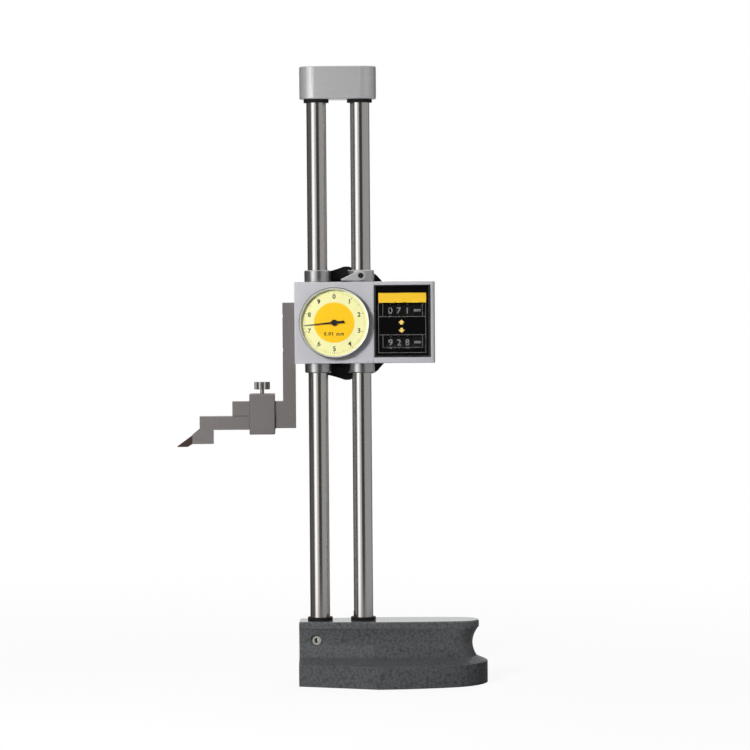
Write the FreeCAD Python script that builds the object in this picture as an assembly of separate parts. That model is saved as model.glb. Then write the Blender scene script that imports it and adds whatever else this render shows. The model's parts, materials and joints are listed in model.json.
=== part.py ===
"""A twin-column dial height gauge, modelled in millimetres as separate pieces.

Frame: the origin is on the surface plate, midway between the two column axes.
+X points from the scriber towards the counter, +Y points away from the dial, +Z points up.
The carriage stands at the height that the photograph shows.
"""

import FreeCAD
import Part

import math
import os

V = FreeCAD.Vector
X_AXIS, Y_AXIS, Z_AXIS = V(1, 0, 0), V(0, 1, 0), V(0, 0, 1)

# Clearances and general finish
running_gap = 0.03
sliding_gap = 0.05
loose_gap = 0.3
edge_break = 0.6
face_break = 0.4

# Columns and rack
column_d = 15.0
column_spacing = 32.5
column_foot_z = 14.0
column_socket_wall = 6.0
rack_pitch = 2.0
rack_width = 5.0
rack_back = 1.2
rack_tip_inset = 0.45
rack_foot_z = 54.0
rack_head_z = 417.0

# Base casting
base_height = 47.0
base_left = 32.0
lip_left_half = 13.0
lip_middle_x = 24.0
lip_middle_half = 18.0
lip_nose_r = 15.5
lip_right = 103.4
lip_left_step = 0.8
lip_side_r = 600.0
lip_height = 5.0
lip_chamfer = 0.8
flange_left_half = 25.0
flange_middle_x = 28.0
flange_middle_half = 46.5
flange_nose_r = 38.0
flange_right = 109.8
flange_side_r = 200.0
flange_height = 16.4
flange_break = 0.6
wall_foot_z = 19.8
wall_depths = (0.0, 0.6, 0.93, 1.0, 0.8, 0.35)
undercut_nose = 4.9
undercut_side = 2.5
pocket_depth = 1.5
pocket_left = 36.0
pocket_right = 88.0
pocket_half = 26.0

# Top cap and buffers
cap_bottom_z = 438.8
cap_height = 24.4
cap_side_wall = 5.05
cap_depth = 26.0
cap_end_r = 12.0
buffer_d = 18.8
buffer_thick = 2.5

# Screws, by thread size
foot_bolt_d = 6.0
foot_bolt_grip = 10.0
foot_bolt_sink = 1.5
set_screw_d = 8.0
set_screw_length = 3.8
set_screw_turn = 13.5
side_screw_d = 6.0
cap_screw_d = 5.0
cover_screw_d = 3.0
plate_screw_d = 2.0
plate_screw_left = 24.0
plate_screw_right = 19.0
plate_screw_inset = 11.0
jaw_screw_web = 1.05
front_screw_z = 32.8
side_screw_z = 28.5

# Carriage casting and covers
carriage_bottom_z = 241.3
carriage_height = 60.7
carriage_side_wall = 7.05
cover_right = 25.8
block_right_wall = 6.55
block_front = 12.0
block_back = 13.0
cover_front = 24.0
cover_wall = 2.2
bush_d = 20.0
bush_length = 22.0
upper_bush_stands_out = 8.8
lower_bush_stands_out = 7.5
pinion_bay_half_width = 12.0
pinion_bay_half_depth = 7.0
pinion_bay_above_feed = 9.0
pinion_bay_below_measuring = 4.4

# Feed wheel and its shaft
feed_teeth = 14
feed_drop = 1.05
feed_shaft_d = 6.0
feed_bush_d = 10.0
wheel_r = 42.8
wheel_lobes = 12
wheel_lobe_depth = 1.4
lobe_share = 0.1
wheel_thick = 13.0
wheel_gap = 1.5
wheel_dish_depth = 4.0
wheel_rim = 9.0
wheel_hub_d = 22.0

# Measuring train
pressure_angle = 25.0
addendum_share = 0.8
dedendum_share = 1.05
backlash_share = 0.06
measuring_teeth = 10
measuring_drop = 10.1
first_gear_teeth = 60
first_pinion_teeth = 12
first_module = 0.5
second_gear_teeth = 48
second_pinion_teeth = 12
second_module = 0.4
arbor_d = 2.4
gear_thick = 1.5
train_plate_thick = 1.2

# Dial
dial_x = -3.6
dial_rise = 0.15
bezel_r = 26.1
bezel_lip = 1.2
bezel_height = 7.2
boss_r = 23.0
boss_height = 2.6
dial_face_thick = 0.6
crystal_thick = 1.2
hand_length = 23.2
hand_tail = 7.5
hand_width = 1.5
hand_thick = 0.35
hand_hub_r = 2.3
hand_reading = 73.6

# Counter
counter_right = 71.4
housing_corner_r = 3.0
counter_back = 6.0
window_left_wall = 1.6
window_right_wall = 4.6
window_top_wall = 3.3
window_bottom_wall = 5.2
panel_inset = 2.4
panel_thick = 1.0
pane_thick = 0.6
counter_wheel_r = 10.4
counter_wheel_wide = 5.6
counter_wheel_step = 6.3
counter_wheel_clearance = 1.5
counter_spacing = 23.8
counter_drop = 3.15
counter_shaft_d = 2.5
counter_sight_left = 33.0
counter_sight_right = 63.3
counter_sight_high = 9.4
label_wide = 35.6
label_high = 7.3
label_thick = 0.3
label_below_top = 8.45
unit_plate_wide = 8.0

# Clamp lever
lever_length = 14.3
lever_hub_r = 3.9
lever_thick = 3.4
lever_tip_r = 0.8
lever_drop_angle = 12.5
clamp_screw_d = 4.0
clamp_height_on_bush = 4.7

# Measuring jaw, scriber and its clamp
jaw_bar_wide = 9.5
jaw_thick = 9.0
jaw_below_carriage_top = 15.3
jaw_length = 94.3
nose_above_jaw_end = 20.3
nose_height = 11.1
nose_length = 47.7
nose_step = 5.8
scriber_height = 10.2
scriber_length = 57.0
scriber_drop = 10.5
scriber_leg_wide = 10.2
scriber_toe = 5.5
scriber_toe_rise = 7.2
tip_reach = 11.4
tip_below = 2.1
box_wide = 19.0
box_side_wall = 3.0
box_top_wall = 5.7
box_bottom_wall = 3.5
box_from_step = 0.5
thumb_head_d = 11.8
thumb_groove_count = 16
thumb_head_high = 5.6
thumb_head_lift = 3.2
thumb_screw_d = 3.0

column_r = column_d / 2
left_x = -column_spacing / 2
right_x = column_spacing / 2
carriage_top_z = carriage_bottom_z + carriage_height
carriage_mid_z = carriage_bottom_z + carriage_height / 2
cap_top_z = cap_bottom_z + cap_height
cap_width = column_spacing + column_d + 2 * cap_side_wall
carriage_left = column_spacing / 2 + bush_d / 2 + carriage_side_wall
block_right = column_spacing / 2 + bush_d / 2 + block_right_wall


def box(x0, x1, y0, y1, z0, z1):
    """A box between two opposite corners."""
    return Part.makeBox(x1 - x0, y1 - y0, z1 - z0, V(x0, y0, z0))


def rod_x(y, z, radius, x0, x1):
    return Part.makeCylinder(radius, x1 - x0, V(x0, y, z), X_AXIS)


def rod_y(x, z, radius, y0, y1):
    return Part.makeCylinder(radius, y1 - y0, V(x, y0, z), Y_AXIS)


def rod_z(x, y, radius, z0, z1):
    return Part.makeCylinder(radius, z1 - z0, V(x, y, z0), Z_AXIS)


def prism(points, direction):
    """A closed polygon of points, pushed along a vector."""
    return Part.Face(Part.makePolygon(points + points[:1])).extrude(direction)


def round_edges(shape, radius, wanted):
    """Fillets the edges that the test picks."""
    picked = [e for e in shape.Edges if wanted(e)]
    return shape.makeFillet(radius, picked) if picked else shape


def break_edges(shape, size, wanted):
    """Chamfers the edges that the test picks."""
    picked = [e for e in shape.Edges if wanted(e)]
    return shape.makeChamfer(size, picked) if picked else shape


def is_upright(edge):
    ends = edge.Vertexes
    if len(ends) < 2:
        return False
    a, b = ends[0].Point, ends[-1].Point
    return abs(a.x - b.x) < 1e-6 and abs(a.y - b.y) < 1e-6 and abs(a.z - b.z) > 1e-6


def lies_at(edge, axis, value, slack=1e-4):
    """True if the whole edge lies in the plane where that coordinate has that value."""
    b = edge.BoundBox
    low, high = {"x": (b.XMin, b.XMax), "y": (b.YMin, b.YMax), "z": (b.ZMin, b.ZMax)}[axis]
    return abs(low - value) < slack and abs(high - value) < slack


def hexagon_y(x, z, radius, y0, y1):
    points = [
        V(x + radius * math.cos(math.radians(60 * i)), y0, z + radius * math.sin(math.radians(60 * i)))
        for i in range(6)
    ]
    return prism(points, V(0, y1 - y0, 0))


def set_screw(length, diameter):
    """A headless screw along +Z from the origin, its hexagon socket at the origin end."""
    screw = Part.makeCylinder(diameter / 2, length)
    screw = break_edges(screw, diameter * 0.08, lambda e: lies_at(e, "z", 0) or lies_at(e, "z", length))
    socket = [
        V(diameter * 0.27 * math.cos(math.radians(60 * i)), diameter * 0.27 * math.sin(math.radians(60 * i)), 0)
        for i in range(6)
    ]
    return screw.cut(prism(socket, V(0, 0, diameter * 0.55)))


def cap_screw(length, diameter):
    """A socket head screw along +Z: the head's top is at the origin and the shank points up."""
    head_high = diameter
    head = Part.makeCylinder(diameter * 0.8, head_high)
    shank = Part.makeCylinder(diameter / 2, length, V(0, 0, head_high))
    socket = [
        V(diameter * 0.42 * math.cos(math.radians(60 * i)), diameter * 0.42 * math.sin(math.radians(60 * i)), 0)
        for i in range(6)
    ]
    return head.fuse(shank).removeSplitter().cut(prism(socket, V(0, 0, diameter * 0.5)))


def placed(shape, where, direction):
    """Moves a piece built along +Z so that it starts at a point and runs along a direction."""
    moved = shape.copy()
    moved.Placement = FreeCAD.Placement(where, FreeCAD.Rotation(Z_AXIS, direction))
    return moved


def involute(angle):
    return math.tan(angle) - angle


def gear(teeth, module, thick, x, z, y0, first_tooth, bore=0.0):
    """A spur gear about +Y. first_tooth is the angle of one tooth, from +X towards +Z."""
    alpha = math.radians(pressure_angle)
    pitch_r = teeth * module / 2
    base_r = pitch_r * math.cos(alpha)
    tip_r = pitch_r + addendum_share * module
    root_r = pitch_r - dedendum_share * module
    flank_r = max(base_r, root_r)
    half_tooth = math.pi / (2 * teeth) - backlash_share * math.pi * module / 2 / pitch_r

    def half_angle(radius):
        return half_tooth + involute(alpha) - involute(math.acos(min(1.0, base_r / radius)))

    def at(radius, angle):
        return V(x + radius * math.cos(angle), y0, z + radius * math.sin(angle))

    edges = []
    middle_r = (flank_r + tip_r) / 2
    for i in range(teeth):
        centre = first_tooth + 2 * math.pi * i / teeth
        following = centre + 2 * math.pi / teeth
        foot, middle, tip = half_angle(flank_r), half_angle(middle_r), half_angle(tip_r)
        if root_r < base_r:
            edges.append(Part.LineSegment(at(root_r, centre - foot), at(flank_r, centre - foot)))
        edges.append(
            Part.Arc(at(flank_r, centre - foot), at(middle_r, centre - middle), at(tip_r, centre - tip))
        )
        edges.append(Part.LineSegment(at(tip_r, centre - tip), at(tip_r, centre + tip)))
        edges.append(
            Part.Arc(at(tip_r, centre + tip), at(middle_r, centre + middle), at(flank_r, centre + foot))
        )
        if root_r < base_r:
            edges.append(Part.LineSegment(at(flank_r, centre + foot), at(root_r, centre + foot)))
        edges.append(Part.LineSegment(at(root_r, centre + foot), at(root_r, following - foot)))
    blank = Part.Face(Part.Wire([e.toShape() for e in edges])).extrude(V(0, thick, 0))
    return blank.cut(rod_y(x, z, bore, y0 - 1, y0 + thick + 1)) if bore else blank


def meshing_tooth(x1, z1, tooth1, teeth1, x2, z2, teeth2):
    """The angle of a tooth of gear 2 that lets it mesh with gear 1, whose tooth stands at tooth1."""
    towards = math.atan2(z2 - z1, x2 - x1)
    offset = (tooth1 - towards) % (2 * math.pi / teeth1)
    return towards + math.pi - offset * teeth1 / teeth2 + math.pi / teeth2


def apart(p, q, from_p, from_q, side):
    """The point at the given distances from p and q, on the left (1) or right (-1) of the line from p to q."""
    dx, dz = q[0] - p[0], q[1] - p[1]
    span = math.hypot(dx, dz)
    along = (from_p**2 - from_q**2 + span**2) / (2 * span)
    across = math.sqrt(from_p**2 - along**2) * side
    return p[0] + (along * dx - across * dz) / span, p[1] + (along * dz + across * dx) / span


# Rack and pinion places
rack_module = rack_pitch / math.pi
rack_tip_x = right_x - column_r + rack_tip_inset
rack_line_x = rack_tip_x + addendum_share * rack_module
rack_root_x = rack_line_x + dedendum_share * rack_module
rack_slot_x = rack_root_x + rack_back
rack_count = int((rack_head_z - rack_foot_z) / rack_pitch)
feed_pitch_r = feed_teeth * rack_module / 2
feed_x = rack_line_x - feed_pitch_r
feed_z = carriage_mid_z - feed_drop
measuring_pitch_r = measuring_teeth * rack_module / 2
measuring_x = rack_line_x - measuring_pitch_r
measuring_z = carriage_mid_z - measuring_drop
dial_z = carriage_mid_z + dial_rise
second_place = apart(
    (dial_x, dial_z),
    (measuring_x, measuring_z),
    (second_gear_teeth + second_pinion_teeth) * second_module / 2,
    (first_gear_teeth + first_pinion_teeth) * first_module / 2,
    -1,
)


def rack_tooth_angle(z, pitch_r, teeth):
    """The angle of a pinion tooth at height z that lets it mesh with the rack on its +X side."""
    above = (rack_foot_z + rack_pitch / 2 - z) % rack_pitch
    return above / pitch_r + math.pi / teeth


feed_tooth = rack_tooth_angle(feed_z, feed_pitch_r, feed_teeth)
measuring_tooth = rack_tooth_angle(measuring_z, measuring_pitch_r, measuring_teeth)
first_gear_tooth = 0.0
first_pinion_tooth = meshing_tooth(
    measuring_x, measuring_z, first_gear_tooth, first_gear_teeth, *second_place, first_pinion_teeth
)
second_gear_tooth = 0.0
second_pinion_tooth = meshing_tooth(
    *second_place, second_gear_tooth, second_gear_teeth, dial_x, dial_z, second_pinion_teeth
)

# Depths of the layers behind the dial, from the column plane towards the dial
rear_layer_y = -block_front - 1.0 - gear_thick
train_plate_y = rear_layer_y - 0.5 - train_plate_thick
front_layer_y = train_plate_y - 0.5 - gear_thick
cover_inner_y = -cover_front + cover_wall
bezel_back_y = -cover_front - 0.2
bezel_front_y = bezel_back_y - bezel_height
crystal_y = bezel_front_y + 0.6
dial_face_y = -cover_front - boss_height - 0.3 - dial_face_thick
hand_y = dial_face_y - 0.8 - hand_thick

# Counter places
window_left = cover_right + window_left_wall
window_right = counter_right - window_right_wall
window_top = carriage_top_z - window_top_wall
window_bottom = carriage_bottom_z + window_bottom_wall
panel_front_y = -cover_front + panel_inset
panel_back_y = panel_front_y + panel_thick
counter_axis_y = panel_back_y + pane_thick + loose_gap + counter_wheel_r
counter_mid_z = carriage_mid_z - counter_drop
counter_first_x = block_right + cover_wall / 2 + counter_wheel_clearance + counter_wheel_wide / 2
counter_up_z = counter_mid_z + counter_spacing / 2
counter_down_z = counter_mid_z - counter_spacing / 2
panel_mid_x = (window_left + window_right) / 2

# Jaw places
jaw_top_z = carriage_top_z - jaw_below_carriage_top
jaw_bottom_z = jaw_top_z - jaw_length
nose_top_z = jaw_bottom_z + nose_above_jaw_end
nose_bottom_z = nose_top_z - nose_height
jaw_right_x = -carriage_left
jaw_left_x = jaw_right_x - jaw_bar_wide
step_x = jaw_left_x - nose_step
nose_left_x = jaw_right_x - nose_length
box_right_x = step_x - box_from_step
box_left_x = box_right_x - box_wide
box_mid_x = (box_left_x + box_right_x) / 2
scriber_right_x = step_x - 0.1
scriber_left_x = scriber_right_x - scriber_length
scriber_top_z = nose_bottom_z
scriber_bottom_z = scriber_top_z - scriber_height
leg_bottom_z = scriber_bottom_z - scriber_drop
tip_bottom_z = leg_bottom_z - tip_below


def mirrored(p):
    return V(p.x, -p.y, 0)


def base_outline(left_half, middle_x, middle_half, nose_r, right, side_r):
    """A plan outline of the base: two straight facets, two long arcs and a round nose that meets them smoothly."""
    left, middle = V(-base_left, -left_half, 0), V(middle_x, -middle_half, 0)
    nose = V(right - nose_r, 0, 0)
    apart_by = side_r - nose_r
    reach = nose - middle
    along = (side_r**2 - apart_by**2 - reach.Length**2) / (2 * apart_by)
    turn = math.atan2(reach.y, reach.x) + math.acos(along / reach.Length)
    heading = V(math.cos(turn), math.sin(turn), 0)
    side, nose_start = nose + heading * apart_by, nose - heading * nose_r
    bulge = side + ((middle + nose_start) * 0.5 - side).normalize() * side_r
    return [
        Part.LineSegment(left, middle),
        Part.Arc(middle, bulge, nose_start),
        Part.Arc(nose_start, V(right, 0, 0), mirrored(nose_start)),
        Part.Arc(mirrored(nose_start), mirrored(bulge), mirrored(middle)),
        Part.LineSegment(mirrored(middle), mirrored(left)),
        Part.LineSegment(mirrored(left), left),
    ]


def lip_sizes():
    return lip_left_half, lip_middle_x, lip_middle_half, lip_nose_r, lip_right, lip_side_r


def flange_sizes(inset=0.0):
    return (
        flange_left_half - inset,
        flange_middle_x,
        flange_middle_half - inset,
        flange_nose_r - inset,
        flange_right - inset,
        flange_side_r - inset,
    )


def wall_sizes(depth):
    """The outline of the hollow wall under the lip: depth 0 is its edge and 1 its deepest line."""
    left = lip_left_half - lip_left_step - undercut_side * depth
    middle = lip_middle_half - undercut_side * depth
    return left, lip_middle_x, middle, lip_nose_r, lip_right - undercut_nose * depth, lip_side_r


def outline_wire(sizes, z):
    wire = Part.Wire([e.toShape() for e in base_outline(*sizes)])
    wire.translate(V(0, 0, z))
    return wire


def base_wall():
    """The wall between the lip and the flange, hollowed for the fingers."""
    top = base_height - lip_height
    fall = (top - wall_foot_z) / (len(wall_depths) - 1)
    wires = [outline_wire(wall_sizes(depth), top - fall * i) for i, depth in enumerate(wall_depths)]
    return Part.makeLoft(wires[::-1], True, False)


def base_flange():
    """The foot of the base: an upright edge, a small chamfer and a shallow slope up to the wall."""
    wires = [
        outline_wire(flange_sizes(), 0),
        outline_wire(flange_sizes(), flange_height - flange_break),
        outline_wire(flange_sizes(flange_break), flange_height),
        outline_wire(wall_sizes(wall_depths[-1]), wall_foot_z),
    ]
    return Part.makeLoft(wires, True, True)


def set_screw_seats():
    """Each column's set screw: a point on the column's axis and the outward direction, square to the facet."""
    turn = math.radians(set_screw_turn)
    return [
        (V(left_x, 0, front_screw_z), V(-math.sin(turn), -math.cos(turn), 0)),
        (V(right_x, 0, front_screw_z), V(-math.sin(turn), math.cos(turn), 0)),
    ]


def base_casting():
    lip = Part.Face(outline_wire(lip_sizes(), base_height - lip_height)).extrude(V(0, 0, lip_height))
    lip = break_edges(lip, lip_chamfer, lambda e: lies_at(e, "z", base_height))
    body = base_flange().fuse(base_wall()).fuse(lip).removeSplitter()
    for x in (left_x, right_x):
        body = body.cut(rod_z(x, 0, column_r, column_foot_z, base_height + 1))
        body = body.cut(rod_z(x, 0, foot_bolt_d / 2 + loose_gap, -1, column_foot_z + 1))
        body = body.cut(rod_z(x, 0, foot_bolt_d * 0.8 + loose_gap, -1, foot_bolt_d + foot_bolt_sink))
    for axis_point, out in set_screw_seats():
        seat = axis_point + out * (column_r + set_screw_length)
        body = body.cut(Part.makeCylinder(set_screw_d / 2, column_r + set_screw_length, axis_point, out))
        body = body.cut(Part.makeCylinder(set_screw_d / 2 + edge_break, flange_middle_half, seat, out))
    body = body.cut(rod_x(0, side_screw_z, side_screw_d / 2, -base_left - 1, left_x))
    return body.cut(box(pocket_left, pocket_right, -pocket_half, pocket_half, -1, pocket_depth))


def column(x):
    shaft = rod_z(x, 0, column_r, column_foot_z, cap_top_z - column_socket_wall)
    shaft = break_edges(shaft, edge_break, lambda e: e.BoundBox.ZLength < 1e-6)
    bore_top = column_foot_z + foot_bolt_grip + foot_bolt_d
    return shaft.cut(rod_z(x, 0, foot_bolt_d / 2, column_foot_z - 1, bore_top))


def column_right():
    slot = box(
        rack_tip_x - 2, rack_slot_x, -rack_width / 2, rack_width / 2, rack_foot_z, cap_bottom_z - buffer_thick
    )
    return column(right_x).cut(slot)


def rack():
    """A toothed strip laid in the right column's slot, its teeth facing the other column."""
    half_tip = rack_pitch / 4 * (1 - backlash_share * 2) - addendum_share * rack_module * math.tan(
        math.radians(pressure_angle)
    )
    depth = (addendum_share + dedendum_share) * rack_module
    half_root = half_tip + depth * math.tan(math.radians(pressure_angle))
    y = -rack_width / 2
    points = [V(rack_slot_x, y, rack_foot_z), V(rack_root_x, y, rack_foot_z)]
    for i in range(rack_count):
        centre = rack_foot_z + rack_pitch * (i + 0.5)
        points += [
            V(rack_root_x, y, centre - half_root),
            V(rack_tip_x, y, centre - half_tip),
            V(rack_tip_x, y, centre + half_tip),
            V(rack_root_x, y, centre + half_root),
        ]
    top = rack_foot_z + rack_pitch * rack_count
    points += [V(rack_root_x, y, top), V(rack_slot_x, y, top)]
    return prism(points, V(0, rack_width, 0))


def buffer_ring(x, z):
    ring = rod_z(x, 0, buffer_d / 2, z, z + buffer_thick)
    return ring.cut(rod_z(x, 0, column_r, z - 1, z + buffer_thick + 1))


def buffer_rings():
    return [
        buffer_ring(x, z) for x in (left_x, right_x) for z in (base_height, cap_bottom_z - buffer_thick)
    ]


def rounded_plan(x0, x1, y0, y1, z0, z1, radius):
    return round_edges(box(x0, x1, y0, y1, z0, z1), radius, is_upright)


def top_cap():
    cap = rounded_plan(
        -cap_width / 2, cap_width / 2, -cap_depth / 2, cap_depth / 2, cap_bottom_z, cap_top_z, cap_end_r
    )
    cap = break_edges(cap, edge_break, lambda e: lies_at(e, "z", cap_top_z) or lies_at(e, "z", cap_bottom_z))
    for x in (left_x, right_x):
        cap = cap.cut(rod_z(x, 0, column_r, cap_bottom_z - 1, cap_top_z - column_socket_wall))
        cap = cap.cut(rod_y(x, cap_bottom_z + cap_height / 2, cap_screw_d / 2, 0, cap_depth))
    return cap


def foot_bolts():
    return [
        placed(
            cap_screw(column_foot_z + foot_bolt_grip - foot_bolt_d - foot_bolt_sink, foot_bolt_d),
            V(x, 0, foot_bolt_sink),
            Z_AXIS,
        )
        for x in (left_x, right_x)
    ]


def column_set_screws():
    screws = [
        placed(set_screw(set_screw_length, set_screw_d), axis_point + out * (column_r + set_screw_length), -out)
        for axis_point, out in set_screw_seats()
    ]
    side_length = base_left + left_x - column_r
    side = placed(
        set_screw(side_length - edge_break, side_screw_d), V(-base_left + edge_break, 0, side_screw_z), X_AXIS
    )
    return screws + [side]


def cap_set_screws():
    length = cap_depth / 2 - column_r - 1.0
    z = cap_bottom_z + cap_height / 2
    return [
        placed(set_screw(length, cap_screw_d), V(x, cap_depth / 2 - 1.0, z), -Y_AXIS)
        for x in (left_x, right_x)
    ]


def carriage_block():
    """The casting that carries the bushes and the pinions' bay."""
    block = rounded_plan(
        -carriage_left, block_right, -block_front, block_back, carriage_bottom_z, carriage_top_z, edge_break
    )
    for x in (left_x, right_x):
        block = block.cut(rod_z(x, 0, bush_d / 2, carriage_bottom_z - 1, carriage_top_z + 1))
    bay = box(
        -pinion_bay_half_width,
        pinion_bay_half_width,
        -block_front - 1,
        pinion_bay_half_depth,
        measuring_z - pinion_bay_below_measuring,
        feed_z + pinion_bay_above_feed,
    )
    block = block.cut(bay)
    for x, z in plate_screw_places():
        boss = rod_y(x, z, plate_screw_d * 1.3, train_plate_y + train_plate_thick, -block_front + 1)
        block = block.fuse(boss)
        block = block.cut(rod_y(x, z, plate_screw_d / 2, train_plate_y, -block_front + 3))
    block = block.cut(rod_y(feed_x, feed_z, feed_bush_d / 2, 0, block_back + 1))
    block = block.cut(rod_y(measuring_x, measuring_z, arbor_d / 2 + running_gap, -block_front - 1, block_back - 2))
    for z in jaw_screw_heights():
        block = block.cut(rod_x(0, z, side_screw_d / 2, -carriage_left - 1, left_x))
    for x, z in cover_screw_places() + housing_screw_places():
        block = block.cut(rod_y(x, z, cover_screw_d / 2, -block_front - 1, block_back + 1))
        block = block.cut(rod_y(x, z, cover_screw_d * 0.8, block_back - cover_screw_d, block_back + 1))
    return block.removeSplitter()


def jaw_screw_heights():
    low, high = carriage_bottom_z, min(jaw_top_z, carriage_top_z)
    return [low + (high - low) * 0.22, low + (high - low) * 0.78]


def cover_screw_places():
    """The centres of the four screws that hold the dial cover to the block, from behind."""
    inset = 3.2
    return [
        (x, z)
        for x in (-carriage_left + inset, dial_x)
        for z in (carriage_bottom_z + inset, carriage_top_z - inset)
    ]


def housing_screw_places():
    """The centres of the two screws that hold the counter housing to the block, from behind."""
    inset = 3.2
    return [(block_right - inset + 0.3, z) for z in (carriage_bottom_z + inset, carriage_top_z - inset)]


def plate_screw_places():
    return [
        (-plate_screw_left, carriage_top_z - plate_screw_inset),
        (plate_screw_right, carriage_top_z - plate_screw_inset - 1),
        (1 - plate_screw_left, carriage_bottom_z + plate_screw_inset),
    ]


def bush(x, upper):
    """A guide bush at the block's top or bottom. Its outer end stands out of the block."""
    if upper:
        z1 = carriage_top_z + upper_bush_stands_out
        z0 = z1 - bush_length
    else:
        z0 = carriage_bottom_z - lower_bush_stands_out
        z1 = z0 + bush_length
    outer_end = z1 if upper else z0
    sleeve = rod_z(x, 0, bush_d / 2, z0, z1)
    sleeve = break_edges(sleeve, edge_break, lambda e: lies_at(e, "z", outer_end))
    return sleeve.cut(rod_z(x, 0, column_r + running_gap, z0 - 1, z1 + 1))


def clamp_z():
    return carriage_top_z + clamp_height_on_bush


def clamped_bush():
    """The upper right bush, with the tapped hole of the clamp screw."""
    return bush(right_x, True).cut(rod_y(right_x, clamp_z(), clamp_screw_d / 2, -bush_d, 0))


def dial_cover():
    """The hollow front cover behind the dial, with the boss that the bezel turns on."""
    cover = rounded_plan(
        -carriage_left, cover_right, -cover_front, -block_front, carriage_bottom_z, carriage_top_z, edge_break
    )
    cover = break_edges(cover, face_break, lambda e: lies_at(e, "y", -cover_front))
    hollow = box(
        -carriage_left + cover_wall,
        cover_right - cover_wall,
        cover_inner_y,
        -block_front + 1,
        carriage_bottom_z + cover_wall,
        carriage_top_z - cover_wall,
    )
    cover = cover.cut(hollow)
    for x, z in cover_screw_places():
        cover = cover.fuse(rod_y(x, z, cover_screw_d * 1.05, -cover_front + 1, -block_front))
    boss = rod_y(dial_x, dial_z, boss_r, -cover_front - boss_height, -cover_front)
    cover = cover.fuse(boss).removeSplitter()
    for x, z in cover_screw_places():
        cover = cover.cut(rod_y(x, z, cover_screw_d / 2, -cover_front + 3, -block_front + 1))
    relief = rod_y(dial_x, dial_z, boss_r - cover_wall, -cover_front - 1, cover_inner_y + 1)
    cover = cover.cut(relief)
    return cover.cut(rod_y(dial_x, dial_z, arbor_d / 2 + running_gap, -cover_front - boss_height - 1, -cover_front))


def cover_screws():
    length = block_back + block_front + 5.0 - cover_screw_d
    places = cover_screw_places() + housing_screw_places()
    return [placed(cap_screw(length, cover_screw_d), V(x, block_back, z), -Y_AXIS) for x, z in places]


def train_plate():
    """The plate that carries the measuring train's front pivots."""
    reach = cover_wall + 0.4
    plate = box(
        -carriage_left + reach,
        cover_right - reach,
        train_plate_y,
        train_plate_y + train_plate_thick,
        carriage_bottom_z + reach,
        carriage_top_z - reach,
    )
    for x, z in cover_screw_places():
        plate = plate.cut(rod_y(x, z, cover_screw_d * 1.05 + loose_gap, train_plate_y - 1, -block_front))
    for x, z in ((measuring_x, measuring_z), second_place, (dial_x, dial_z)):
        plate = plate.cut(rod_y(x, z, arbor_d / 2 + running_gap, train_plate_y - 1, train_plate_y + 2))
    for x, z in plate_screw_places():
        plate = plate.cut(rod_y(x, z, plate_screw_d / 2, train_plate_y - 1, train_plate_y + 2))
    return plate


def plate_screws():
    """Three small screws through the train plate into the block's pillars."""
    length = train_plate_thick + 3.0
    screws = []
    for x, z in plate_screw_places():
        head = rod_y(x, z, plate_screw_d * 0.9, train_plate_y - 1.2, train_plate_y)
        shank = rod_y(x, z, plate_screw_d / 2, train_plate_y, train_plate_y + length)
        slot = box(x - 3, x + 3, train_plate_y - 2, train_plate_y - 0.7, z - 0.25, z + 0.25)
        screws.append(head.fuse(shank).removeSplitter().cut(slot))
    return screws


def feed_shaft():
    front = -pinion_bay_half_depth + 0.5
    back = block_back + wheel_gap + wheel_thick - wheel_dish_depth
    return rod_y(feed_x, feed_z, feed_shaft_d / 2, front, back)


def feed_pinion():
    return gear(feed_teeth, rack_module, rack_width, feed_x, feed_z, -rack_width / 2, feed_tooth, feed_shaft_d / 2)


def feed_bush():
    y0, y1 = pinion_bay_half_depth, block_back + 0.8
    sleeve = rod_y(feed_x, feed_z, feed_bush_d / 2, y0, y1)
    return sleeve.cut(rod_y(feed_x, feed_z, feed_shaft_d / 2 + running_gap, y0 - 1, y1 + 1))


def feed_wheel():
    """The black hand wheel behind the carriage: a dished disc with a scalloped rim."""
    y0 = block_back + wheel_gap
    y1 = y0 + wheel_thick
    valley_r = wheel_r - wheel_lobe_depth
    step = 2 * math.pi / wheel_lobes
    edges = []

    def at(radius, angle):
        return V(feed_x + radius * math.cos(angle), y0, feed_z + radius * math.sin(angle))

    for i in range(wheel_lobes):
        start = math.pi / 2 + i * step
        before, after, following = (start + step * share for share in (-lobe_share, lobe_share, 1 - lobe_share))
        edges.append(Part.Arc(at(wheel_r, before), at(wheel_r + 0.15, start), at(wheel_r, after)))
        edges.append(Part.Arc(at(wheel_r, after), at(valley_r, start + step / 2), at(wheel_r, following)))
    wheel = Part.Face(Part.Wire([e.toShape() for e in edges])).extrude(V(0, y1 - y0, 0))
    dish = rod_y(feed_x, feed_z, wheel_r - wheel_rim, y1 - wheel_dish_depth, y1 + 1)
    hub = rod_y(feed_x, feed_z, wheel_hub_d / 2, y1 - wheel_dish_depth, y1)
    wheel = wheel.cut(dish.cut(hub))
    front_dish = rod_y(feed_x, feed_z, wheel_r - wheel_rim, y0 - 1, y0 + wheel_dish_depth)
    front_hub = rod_y(feed_x, feed_z, wheel_hub_d / 2, y0, y0 + wheel_dish_depth)
    wheel = wheel.cut(front_dish.cut(front_hub))
    return wheel.cut(rod_y(feed_x, feed_z, feed_shaft_d / 2, y0 - 1, y1 + 1))


def wheel_screw():
    """The screw in the wheel's hub that holds it on the shaft."""
    y1 = block_back + wheel_gap + wheel_thick
    shaft_end = y1 - wheel_dish_depth
    return rod_y(feed_x, feed_z, feed_shaft_d / 2, shaft_end, y1).cut(
        hexagon_y(feed_x, feed_z, feed_shaft_d * 0.27, y1 - 2.5, y1 + 1)
    )


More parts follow.
